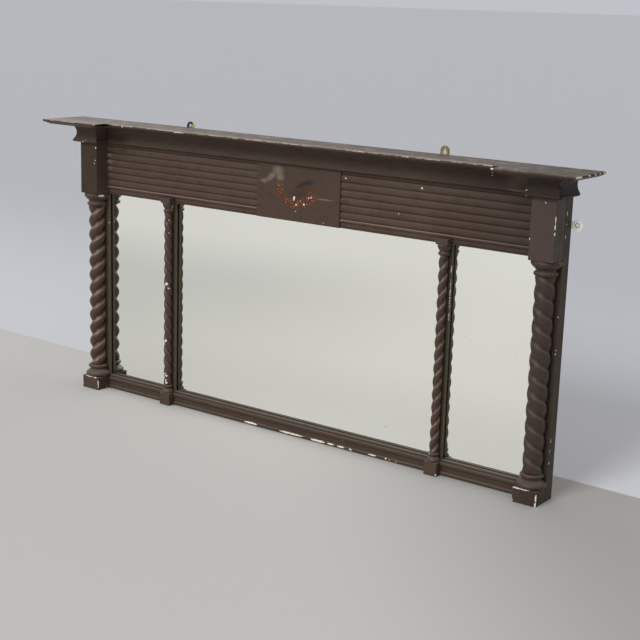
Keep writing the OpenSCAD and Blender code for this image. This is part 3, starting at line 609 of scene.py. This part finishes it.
paint_crown = brown_paint("brown_paint_crown", "x", [
    ((541.8, -47, 591.3), (0.8, 3, 2), 40), ((544.5, -48, 581.3), (1.3, 3, 2), -35),
    ((453, -13, 611.3), (1.1, 2, 1)), ((452.4, -11.5, 605.6), (1, 2, 1)),
    ((-579.5, -50, 583), (1.9, 3, 1.6)), ((-571, -49, 587), (1.2, 3, 1.2))],
    tone="463a34", warm="47372f", extra=corner_light, right_end_shade=(0.25, 0.5, 0.5))
# The returns are painted darker than the fronts, as painted shade under the slab.
paint_return_shaded = brown_paint("brown_paint_crown_returns_shaded", "y", tone="3d332d", warm="3c2f29",
                           extra=left_tint_and_side_light, right_end_shade=(0.3, 0.56, 0.8))
# The hollow is part of a circle about a point 28.5 mm forward and 21 mm up. It starts 14.5 mm
# below that point and ends 18 mm above it.
HOLLOW_R = 22.5
low, high = (math.degrees(math.asin(rise / HOLLOW_R)) for rise in (14.5, 18))
crown = [(0, 0)] + arc(9.25, 3.25, 3.25, -90, 68, 10)
crown += [(28.5 - x, 21 + z) for x, z in arc(0, 0, HOLLOW_R, -low, high, 18)] + [(0, CROWN_H)]


def mitre(bm, corner, away):
    """Cuts a mesh upright through a point, and throws off the side that away points to."""
    cut = bmesh.ops.bisect_plane(bm, geom=bm.verts[:] + bm.edges[:] + bm.faces[:], dist=0.001,
                                 plane_co=corner, plane_no=away, clear_outer=True)
    rim = [e for e in cut["geom_cut"] if isinstance(e, bmesh.types.BMEdge)]
    bmesh.ops.contextual_create(bm, geom=rim)
    bmesh.ops.recalc_face_normals(bm, faces=bm.faces)


centre = [(x + PANEL_T if x > 0 or 0 < z < CROWN_H else x, z + CROWN_Z) for x, z in crown]
bm = moulding(centre, -HALF_W, HALF_W, 60)
mitre(bm, (BLOCK_IN, -PANEL_T, 0), (1, -1, 0))
mitre(bm, (-BLOCK_IN, -PANEL_T, 0), (-1, -1, 0))
place_piece("painted_crown_centre", bm, (paint_crown,), "painted_trim", "crown_centre")
raised = [(x, z + CROWN_Z) for x, z in crown]
# Each length is run along X and turned, so that a return's front is the side of the block. Then
# its ends are cut: a cut is its place and the side to throw off, in plan.
for side in ("left", "right"):
    for name, node, paint, forward, x0, x1, turn, cuts in (
            ("front_", "crown_front_", paint_crown, BLOCK_D, BLOCK_IN - CROWN_TOP,
             HALF_W + CROWN_TOP, 0, ((HALF_W, -BLOCK_D, 1, 1), (BLOCK_IN, -BLOCK_D, -1, 1))),
            ("return_", "crown_outer_return_", paint_return_shaded, HALF_W, -BLOCK_D - CROWN_TOP,
             FRAME_T, 90, ((HALF_W, -BLOCK_D, -1, -1),)),
            ("inner_", "crown_inner_return_", paint_return_shaded, -BLOCK_IN, PANEL_T,
             BLOCK_D + CROWN_TOP, -90, ((BLOCK_IN, -BLOCK_D, 1, -1), (BLOCK_IN, -PANEL_T, -1, 1)))):
        bm = moulding([(x + forward, z) for x, z in raised], x0, x1, 8)
        bmesh.ops.rotate(bm, cent=(0, 0, 0), matrix=Matrix.Rotation(math.radians(turn), 3, "Z"),
                         verts=bm.verts)
        for x, y, *away in cuts:
            mitre(bm, (x, y, 0), (*away, 0))
        if side == "left":
            mirrored_copy(bm)
        place_piece("painted_crown_" + name + side, bm, (paint,), "painted_trim", node + side)


# ---- Cornice slab ----
# A thin board in three lengths lies on the crown moulding and breaks forward over the blocks.
# Its edge is undercut. The top is bare to dust, and the edge is knocked and chipped.
TOP, EDGE_H, UNDERCUT = 630, 4, 13
RIM_Z = TOP - EDGE_H - 1      # all that lies higher is the slab's edge or its top
SLAB_X, SLAB_IN, SLAB_CUT, SLAB_FRONT, SLAB_MID = 660, 494.5, 482.5, 98, 65


def worn_slab(tree, point, colour):
    """Grey-brown dust and rubbed streaks along the top of the slab."""
    up = facing(tree, "Z")
    # Streaks 110 mm long and 6 mm wide, and rubbed patches about 18 mm wide.
    drawn = add(tree, "Mapping", {"Vector": point, "Scale": (9, 160, 160)})
    streak = add(tree, "TexNoise", {"Vector": drawn, "Scale": 1, "Detail": 5, "Roughness": 0.65})
    rub = add(tree, "TexNoise", {"Vector": point, "Scale": 55, "Detail": 5, "Roughness": 0.7})
    axes = add(tree, "SeparateXYZ", {0: point}).node.outputs
    pale = add(tree, "MapRange", {0: axes["X"], 1: -0.65, 2: 0.25})
    dark, light = (add(tree, "Mix", {0: pale, 6: left, 7: right}, **COLOURS)
                   for left, right in (("786d64", "53473d"), ("a3978d", "7d7064")))
    top = coat(tree, dark, light, streak, 0.34, 0.66)
    top = coat(tree, top, "b3a698", rub, 0.5, 0.68, 0.55)
    # Dusting cloths keep the front of the centre board pale, and dirt lies along the back.
    front = together(tree, (axes["Y"], -0.004, -0.028, 0.6), (axes["X"], 0.475, 0.465))
    top = add(tree, "Mix", {0: front, 6: top, 7: "b0a59f"}, **COLOURS)
    top = coat(tree, top, "352c28", axes["Y"], 0.05, 0.0615, 0.65)
    colour = coat(tree, colour, top, up, 0.6, 0.95, 0.95)
    # The rounded edge is pale in places, for some centimetres at a time: bare wood, and a painted
    # highlight where the edge catches the light.
    wood = coat(tree, "bbb0a4", "7f7266", axes["X"], 0.48, 0.5)
    edge_highlight_and_bare = together(tree, (up, 0.25, 0.5), (up, 0.97, 0.85), (rub, 0.46, 0.56))
    return add(tree, "Mix", {0: edge_highlight_and_bare, 6: colour, 7: wood}, **COLOURS)


def ragged(point):
    """How far a worn edge lies back from its line, up to about 1.5 mm."""
    return max(0.4 + noise.noise(point / 16) * 1.1 + noise.noise(point / 5) * 0.25, 0)


paint_slab = brown_paint("brown_paint_slab", "x", [
    ((497, -98, 629.5), (3.5, 4, 1.2)), ((660, -82, 628), (3, 15, 2)),
    ((660, -42, 628), (2, 5, 1.6)), ((660, -17, 628), (2, 4, 1.5)), ((660, 2, 628), (2, 3, 1.5)),
    ((660, 19, 628), (2, 4, 1.5)), ((-442, -65, 628), (2, 2, 1.6)),
    ((-278, -64, 629), (13, 3, 1.8)), ((195, -65, 630), (8, 2, 1.2)),
    ((300, -65, 630), (3, 2, 1.4))], dust=0.2, extra=worn_slab)
bm = moulding([(-FRAME_T, FRAME_TOP), (SLAB_MID - UNDERCUT, FRAME_TOP), (SLAB_MID, TOP - EDGE_H),
               (SLAB_MID, TOP), (-FRAME_T, TOP)], -SLAB_CUT, SLAB_CUT, 320)
soften(bm, [e for e in bm.edges if all(v.co.y < 5 - SLAB_MID for v in e.verts) and not e.smooth],
       1.2, 2)
# One piece of the edge, 26 mm long and 3 mm deep, has split off.
for vert in bm.verts:
    if vert.co.y < -SLAB_MID + 3 and vert.co.z > RIM_Z:
        vert.co.y += ragged(vert.co) + 3 * (-291 < vert.co.x < -265) * (vert.co.z > TOP - 2)
place_piece("painted_slab_centre", bm, (paint_slab,), "cornice_slab", "slab_centre")
top_corners = [(SLAB_CUT, FRAME_T), (SLAB_X, FRAME_T), (SLAB_X, -SLAB_FRONT),
               (SLAB_IN, -SLAB_FRONT), (SLAB_IN, -SLAB_MID), (SLAB_CUT, -SLAB_MID)]
foot_corners = [(SLAB_CUT, FRAME_T), (SLAB_X - UNDERCUT, FRAME_T),
                (SLAB_X - UNDERCUT, -SLAB_FRONT + UNDERCUT),
                (SLAB_IN + UNDERCUT, -SLAB_FRONT + UNDERCUT),
                (SLAB_IN + UNDERCUT, -SLAB_MID + UNDERCUT), (SLAB_CUT, -SLAB_MID + UNDERCUT)]
for side in ("left", "right"):
    bm = bmesh.new()
    verts = [bm.verts.new((x, y, TOP)) for x, y in top_corners]
    face = bm.faces.new(verts)
    made = bmesh.ops.extrude_face_region(bm, geom=[face])["geom"]
    low_face = [f for f in made if isinstance(f, bmesh.types.BMFace)][0]
    bmesh.ops.translate(bm, vec=(0, 0, -EDGE_H), verts=low_face.verts[:])
    made = bmesh.ops.extrude_face_region(bm, geom=[low_face])["geom"]
    for vert in (v for v in made if isinstance(v, bmesh.types.BMVert)):
        nearest = min(range(6), key=lambda i: (vert.co.x - top_corners[i][0]) ** 2
                      + (vert.co.y - top_corners[i][1]) ** 2)
        vert.co = (*foot_corners[nearest], FRAME_TOP)
    bmesh.ops.recalc_face_normals(bm, faces=bm.faces)
    soften(bm, [e for e in bm.edges if all(v.co.z > RIM_Z for v in e.verts)
                and not all(abs(v.co.x - SLAB_CUT) < 0.1 for v in e.verts)], 1.2, 2)
    for axis, cuts in ((0, 40), (1, 30)):
        rim = [e for e in bm.edges if all(v.co.z > RIM_Z for v in e.verts)
               and abs(e.verts[0].co[axis] - e.verts[1].co[axis]) > 40]
        bmesh.ops.subdivide_edges(bm, edges=rim, cuts=cuts, use_grid_fill=True)
    for vert in bm.verts:
        if vert.co.z > RIM_Z:
            if vert.co.y < -SLAB_FRONT + 3:
                vert.co.y += ragged(vert.co)
            if vert.co.x > SLAB_X - 3:
                vert.co.x -= ragged(vert.co)
    if side == "left":
        mirrored_copy(bm)
    place_piece("painted_slab_end_" + side, bm, (paint_slab,), "cornice_slab", "slab_end_" + side)
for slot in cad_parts["slab_nails"].material_slots:
    slot.material = iron


# ---- Moulding along the bottom rail ----
# Three lengths between the plinths: a bead at the floor, a flat, a groove, an ovolo and a
# fillet at the glass. Gesso shows along the bead where it has been kicked.
SILL_END, SILL_START = 341.5, 370.5
paint_sill = brown_paint("brown_paint_sill", "x", [
    ((-112, -6, 5.4), (19, 3, 2)), ((-1, -6, 5.4), (33, 3, 1.8)), ((70, -6, 5.2), (19, 3, 2)),
    ((104, -6, 5.4), (9, 3, 1.8)), ((130, -6, 5), (10, 3, 1.7)), ((153.5, -6, 5), (5, 3, 1.2)),
    ((208.5, -6, 5.4), (10, 3, 1.4)), ((242, -6, 5.6), (2, 3, 1.8)),
    ((252, -6, 4.4), (1.2, 2, 1)), ((268, -6, 4.6), (1.2, 2, 1)), ((15.7, -3, 19), (1.5, 3, 1)),
    ((131.5, -3, 19.4), (1.5, 3, 1))], tone="43382f", warm="43352b", dust=0.6)
sill = [(0, 0)] + arc(1.75, 4.25, 4.25, -80, 80, 8) + [(3.5, 8.6), (3.5, 17), (2, 17), (2, 18.2)]
sill += arc(-0.5, 22.85, 6, -40, 40, 8) + [(2, 27.5), (2.6, 27.5), (2.6, 32), (0, 32)]
for side, (x0, x1) in (("centre", (-SILL_END, SILL_END)), ("right", (SILL_START, BLOCK_IN)),
                       ("left", (SILL_START, BLOCK_IN))):
    bm = moulding(sill, x0, x1, int((x1 - x0) / 9))
    wear(bm, 20, 0.15)
    if side == "left":
        mirrored_copy(bm)
    place_piece("painted_sill_" + side, bm, (paint_sill,), "painted_trim", "sill_" + side)


# ---- Plinths ----
# Square pine blocks under the columns, 29.5 mm high under the outer ones and 28 mm under the
# inner ones. Knocks have opened their arrises down to the gesso.
paint_plinth = brown_paint("brown_paint_plinths", "x", [
    ((567, -37, 29.5), (19, 3, 1.4)), ((548, -38, 27.5), (3, 3, 1.4)),
    ((600, -38, 18), (2.4, 2.4, 8)), ((599, -38, 6), (2, 2, 3)), ((600, -38, 1), (4, 2, 2)),
    ((550.5, -38, 4), (1.6, 2, 1.6)), ((600, 6, 6.7), (2, 1.2, 2)), ((600, 20, 3), (2, 4, 1.4)),
    ((-580, -37, 29.5), (12, 3, 1.5)), ((-561, -37, 29), (5, 3, 1.2)),
    ((-549.5, -38, 15), (1.6, 1.6, 10)), ((-599, -38, 9), (1.6, 2, 2)),
    ((-549.5, 4, 27.8), (2, 1.5, 1.5)), ((-549.5, -10, 4), (2, 1.5, 1.5)),
    ((370, -19.5, 3.7), (2, 2, 2))], dust=0.75, right_end_shade=(0.52, 0.58, 0.45))
COLUMN_X, ABACUS_D = 574.75, 19.5
PLINTH_H = {"outer": 29.5, "inner": 28}
for side, sign in (("left", -1), ("right", 1)):
    for which, middle, half_w, deep in (("outer", COLUMN_X, 25.25, BLOCK_D),
                                        ("inner", MULLION_X, 14.5, ABACUS_D)):
        bm = board((sign * middle - half_w, -deep, 0),
                   (sign * middle + half_w, 0, PLINTH_H[which]))
        bmesh.ops.subdivide_edges(bm, edges=bm.edges, cuts=5, use_grid_fill=True)
        soften(bm, [e for e in bm.edges if e.calc_face_angle() > 1], 1.2, 3)
        wear(bm, 7, 0.25)
        place_piece("painted_plinth_%s_%s" % (which, side), bm, (paint_plinth,), "painted_frame",
                    "plinth_%s_%s" % (which, side))


# ---- Column bases and capitals ----
# Turned pine, cut flat behind and painted: a ring, a neck and a swelling bell with a rounded
# edge. A base is the same turning upside down.
BASE_H, CAPITAL_H = {"outer": 27.5, "inner": 18.5}, {"outer": 29, "inner": 21}
OUTER_AXIS, INNER_AXIS = 11.5, 8


def cut_behind(bm):
    """Cuts a round piece flat at the face of the frame."""
    mitre(bm, (0, 0, 0), (0, 1, 0))
    for face in bm.faces:
        if face.normal.y > 0.99:
            face.smooth = False


def turned(profile, axis_d, x, z0, upside_down=False, height=0):
    """Spins a profile of (radius, height) points about an axis axis_d in front of the frame."""
    bm = bmesh.new()
    verts = [bm.verts.new((x + r, -axis_d, z0 + (height - h if upside_down else h)))
             for r, h in profile]
    line = [bm.edges.new(pair) for pair in zip(verts, verts[1:])]
    bmesh.ops.spin(bm, geom=verts + line, cent=(x, -axis_d, 0), axis=(0, 0, 1),
                   angle=math.tau, steps=72, use_merge=True)
    bmesh.ops.remove_doubles(bm, verts=bm.verts, dist=0.01)
    bmesh.ops.recalc_face_normals(bm, faces=bm.faces)
    smooth_between(bm, 40)
    cut_behind(bm)
    return bm


def bell(end_r, ring_r, ring_h, neck_r, neck_z, bell_r, h):
    """The turning's profile, from the shaft's end to the flat face."""
    edge_r = (bell_r - neck_r) * 0.4
    edge_z = h - edge_r * 1.2
    points = [(0, 0), (end_r, 0)]
    # The ring bulges like the middle 150 degrees of a half circle.
    least = math.cos(math.radians(75))
    points += [(end_r + (ring_r - end_r) * (x - least) / (1 - least), ring_h * (0.5 + 0.5 * y))
               for x, y in arc(0, 0, 1, -75, 75, 10)]
    points += [(neck_r, ring_h + 0.5)]
    points += [(neck_r + (bell_r - neck_r) * math.sin(math.radians(90 * i / 14)) ** 1.2,
                neck_z + (edge_z - neck_z) * i / 14) for i in range(15)]
    points += arc(bell_r - edge_r, edge_z, edge_r, 15, 80, 5)
    return points + [(bell_r - edge_r, h), (0, h)]


def bared(tree, point, colour):
    """Orange wood, where the left inner capital has lost its paint down one side."""
    away = spots_near(tree, point, [((-343, -4, 452.5), (5.5, 8, 6.5))])
    wood = coat(tree, "b9682e", "efc295", away, 0.8, 0.4)
    return coat(tree, colour, wood, away, 1.1, 0.85)


paint_turned = brown_paint("brown_paint_turnings", "z", [
    ((-549, -25, 460), (6, 8, 2.4)), ((351, -19, 46), (1.6, 2, 1.6))],
    tone="43362d", warm="46352b", dust=0.65, extra=bared, sheen=0.25, right_end_shade=(0.3, 0.56, 0.3))
# The shaft's end, the ring, its height, the neck, its height and the bell.
outer_bell = (19.2, 23, 8.5, 19, 11.5, 29)
inner_bell = (9.3, 11.25, 6.5, 9, 8.5, 13.25)
for side, sign in (("left", -1), ("right", 1)):
    for which, x, axis_d, sizes in (("outer", COLUMN_X, OUTER_AXIS, outer_bell),
                                    ("inner", MULLION_X, INNER_AXIS, inner_bell)):
        base_h, capital_h = BASE_H[which], CAPITAL_H[which]
        bm = turned(bell(*sizes, base_h), axis_d, sign * x, PLINTH_H[which], True, base_h)
        wear(bm, 14, 0.2)
        place_piece("turned_base_%s_%s" % (which, side), bm, (paint_turned,), "painted_columns",
                    "base_%s_%s" % (which, side))
        bm = turned(bell(*sizes, capital_h), axis_d, sign * x, SIGHT_TOP - capital_h)
        wear(bm, 14, 0.2)
        place_piece("turned_capital_%s_%s" % (which, side), bm, (paint_turned,), "painted_columns",
                    "capital_%s_%s" % (which, side))


# ---- Rope-twist shafts ----
# Pine shafts carved as two round strands that climb about the axis, flattened behind and
# planted on the frame. The right-hand ones turn the other way, and the outer right one is carved
# less deeply. The grooves are darker, and a painted highlight runs along the upper side of each
# strand.
def highlight_and_grooves(tree, point, colour):
    """Uses what rope() left on the mesh: a painted highlight along the upper side of each strand,
    and darker paint near the groove.
    """
    strand_highlight = add(tree, "Attribute", out="Fac", attribute_name="strand_highlight")
    groove = add(tree, "Attribute", out="Fac", attribute_name="groove")
    broken = add(tree, "TexNoise", {"Vector": point, "Scale": 130, "Detail": 4, "Roughness": 0.6})
    # The painted highlight is broken up about every 8 mm.
    broken = add(tree, "MapRange", {0: broken, 1: 0.3, 2: 0.6, 3: 0.25}, **SOFT)
    streak = add(tree, "Math", {0: strand_highlight, 1: broken}, operation="MULTIPLY")
    colour = add(tree, "Mix", {0: streak, 6: colour, 7: "7f6c59"}, **COLOURS)
    # Darker near the groove.
    crease_darkening = add(tree, "Math", {0: groove, 1: 0.75}, operation="MULTIPLY")
    return add(tree, "Mix", {0: crease_darkening, 6: colour, 7: "241c18"}, **COLOURS)


paint_rope = brown_paint("brown_paint_ropes", "z", [
    ((-353.5, -16, 282), (3.6, 4, 3.2)), ((-346.5, -16, 272.5), (4.4, 4, 2.6)),
    ((-355.3, -17, 150.7), (2.8, 4, 2.9)), ((-353, -17, 68.5), (3, 4, 2.6)),
    ((-357, -17, 73), (2.2, 4, 2)), ((-355.8, -16, 58), (2.8, 4, 2.4)),
    ((-353.8, -15, 52.5), (2.6, 4, 2)), ((-349.3, -14.5, 426), (1.2, 3, 2.2)),
    ((-353.5, -17, 419), (1, 3, 1.2)), ((-349.5, -14.6, 398), (1, 3, 1))],
    tone="3f2c22", warm="472f24", dust=0.3, extra=highlight_and_grooves, sheen=0.38, right_end_shade=(0.3, 0.56, 0.5))


def rope(x, axis_d, r, depth, z0, z1, strand_h, turn, start, rub):
    """Spins the outline of two strands upwards, a step for each 2 mm. depth is how far the
    strands' centres stand off the axis, as a share of r, and strand_h is how high one strand
    is. turn is 1 where they climb anticlockwise, and rub is how strong the painted highlight
    on them is."""
    bm = bmesh.new()
    off, count = r * depth, 56
    outline = []
    for i in range(count):
        a = i * 360 / count
        part = abs((a + 90) % 180 - 90)
        # Paint softens the groove between the strands over about 5 degrees.
        part = math.radians(max(90 - math.sqrt((90 - part) ** 2 + 5 ** 2), 0))
        q = off * math.cos(part) + math.sqrt((r - off) ** 2 - (off * math.sin(part)) ** 2)
        b = math.radians(a + start)
        outline.append(bm.verts.new((x + q * math.cos(b), -axis_d + q * math.sin(b), z0)))
    loop = [bm.edges.new((outline[i - 1], outline[i])) for i in range(count)]
    steps = int((z1 - z0) / 2)
    bmesh.ops.spin(bm, geom=outline + loop, cent=(x, -axis_d, 0), axis=(0, 0, 1),
                   dvec=(0, 0, (z1 - z0) / steps),
                   angle=math.radians(turn * 180 * (z1 - z0) / strand_h), steps=steps)
    bmesh.ops.holes_fill(bm, edges=[e for e in bm.edges if len(e.link_faces) == 1])
    bmesh.ops.recalc_face_normals(bm, faces=bm.faces)
    strand_highlight, groove = (bm.verts.layers.float.new(name) for name in ("strand_highlight", "groove"))
    for vert in bm.verts:
        # down runs from 0, just under a groove, to 1, just above the next one.
        angle = math.degrees(math.atan2(vert.co.y + axis_d, vert.co.x - x)) - start
        down = ((angle * turn - 180 * (vert.co.z - z0) / strand_h + 90) % 180) / 180
        # Painted highlight: pale along the upper side of each strand, just under the groove.
        vert[strand_highlight] = rub * max(1 - ((down - 0.24) / 0.11) ** 2, 0)
        vert[groove] = math.exp(-(min(down, 1 - down) / 0.07) ** 2)
    for face in bm.faces:
        face.smooth = abs(face.normal.z) < 0.95
    cut_behind(bm)
    wear(bm, 11, 0.25)
    return bm


for which, side, x, axis_d, r, depth, strand_h, turn, start, rub in (
        ("outer", "left", -COLUMN_X, OUTER_AXIS, 19.5, 0.28, 31.8, 1, 93, 1),
        ("inner", "left", -MULLION_X, INNER_AXIS, 9.4, 0.26, 26.3, -1, 69, 0.4),
        ("outer", "right", COLUMN_X, OUTER_AXIS, 19.5, 0.14, 31.8, -1, 3, 0.55),
        ("inner", "right", MULLION_X, INNER_AXIS, 9.4, 0.26, 26.3, 1, 120, 1)):
    bm = rope(x, axis_d, r, depth, PLINTH_H[which] + BASE_H[which],
              SIGHT_TOP - CAPITAL_H[which], strand_h, turn, start, rub)
    place_piece("rope_shaft_%s_%s" % (which, side), bm, (paint_rope,), "painted_columns",
                "twist_shaft_%s_%s" % (which, side))


# ---- Square blocks on the inner capitals ----
# Small pine blocks, 27 mm wide and 11.5 mm high, that join the inner columns to the frieze.
# They are planed, glued to the mullions, and painted like the end blocks.
for side, sign in (("left", -1), ("right", 1)):
    bm = board((sign * MULLION_X - MULLION_HALF, -ABACUS_D, SIGHT_TOP),
               (sign * MULLION_X + MULLION_HALF, -2, BEAD_Z), 0.9, 3)
    wear(bm, 7, 0.2)
    place_piece("painted_abacus_" + side, bm, (paint_block,), "painted_frame", "abacus_" + side)


# ---- Hanging plates and their screws ----
# Two brass plates, the right one with a keyhole, are screwed to the back and stand above the
# slab. A round iron plate, painted cream, stands beside the right stile.
PLATE_T, HOLE_R, HANG_X, HANG_Z, DISC_X, DISC_Z = 1.7, 3.5, 325, 635, 611.5, 527


def pierced_plate(outline, hole):
    """A flat plate on the back of the frame, with a hole through it. Both are (x, z) points."""
    bm = bmesh.new()
    for loop in (outline, hole):
        verts = [bm.verts.new((x, FRAME_T, z)) for x, z in loop]
        for pair in zip(verts, verts[1:] + verts[:1]):
            bm.edges.new(pair)
    bmesh.ops.triangle_fill(bm, use_beauty=True, edges=bm.edges[:])
    made = bmesh.ops.extrude_face_region(bm, geom=bm.faces[:])["geom"]
    bmesh.ops.translate(bm, vec=(0, PLATE_T, 0),
                        verts=[v for v in made if isinstance(v, bmesh.types.BMVert)])
    bmesh.ops.recalc_face_normals(bm, faces=bm.faces)
    soften(bm, [e for e in bm.edges if e.calc_face_angle() > math.radians(60)], 0.3)
    return bm


# Sheet brass, dull and yellow-grey, with tarnish in clouds about 6 mm wide. It is pale in the
# middle, where it is handled, and dark at its edge.
brass, tree, shader = new_material("tarnished_sheet_brass")
point = add(tree, "TexCoord", out="Object")
tarnish = add(tree, "TexNoise", {"Vector": point, "Scale": 160, "Detail": 4})
dull = coat(tree, "cdbf98", "a3946a", tarnish, 0.35, 0.7)
middle = spots_near(tree, point, [((HANG_X, 27, 590), (11, 9, 58)),
                                  ((-HANG_X, 27, 585), (11, 9, 52)), ((-315, 27, 634), (6, 9, 6))])
at = add(tree, "SeparateXYZ", {0: point}, out="X")
rim = coat(tree, "40352c", "85764f", at, -0.1, 0.1)
colour = coat(tree, dull, rim, middle, 0.75, 1.05)
rough = add(tree, "MapRange", {0: tarnish, 1: 0.35, 2: 0.7, 3: 0.4, 4: 0.65})
feed(tree, shader, {"Base Color": colour, "Roughness": rough, "Metallic": 0.5})

# Cream gloss paint on iron, gone half matt, brushed in marks about 3 mm wide. It is set whiter
# than cream, as painted light against the slab's shade on the plate, and a dark ring round the
# hole is painted shade.
cream, tree, shader = new_material("cream_painted_iron")
point = add(tree, "TexCoord", out="Object")
brushed = add(tree, "TexNoise", {"Vector": point, "Scale": 300, "Detail": 3})
hole_shade_ring = spots_near(tree, point, [((DISC_X, 28, DISC_Z), (HOLE_R, 30, HOLE_R))])
colour = coat(tree, "ffffff", "fbf6f0", brushed, 0.3, 0.7)
# Painted shade: a dark ring round the hole.
colour = coat(tree, colour, "4a4436", hole_shade_ring, 1.4, 1.15)
feed(tree, shader, {"Base Color": colour, "Roughness": 0.5})
left_outline = arc(-HANG_X, 633, 10, 30, 180, 14) + [(-335, 589), (-313, 589), (-313, 638)]
right_outline = arc(HANG_X, 636.9, 10, 0, 180, 16) + [(315, 589), (335, 589)]
keyhole = arc(HANG_X, HANG_Z, HOLE_R, 110, 430, 18) + arc(HANG_X, 640.5, 1.2, 0, 180, 6)
for side, outline, hole in (("left", left_outline, arc(-HANG_X, HANG_Z, HOLE_R, 0, 337.5, 15)),
                            ("right", right_outline, keyhole)):
    bm = pierced_plate(outline, hole)
    place_piece("brass_hanger_" + side, bm, (brass,), "brass", "brass_plate_" + side)
bm = pierced_plate(arc(DISC_X, DISC_Z, 10.4, -138, 138, 24) + [(562, 534), (562, 520)],
                   arc(DISC_X, DISC_Z, HOLE_R, 0, 337.5, 15))
place_piece("side_hanger", bm, (cream,), "painted_plate", "side_plate")
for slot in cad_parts["plate_screws"].material_slots:
    slot.material = brass
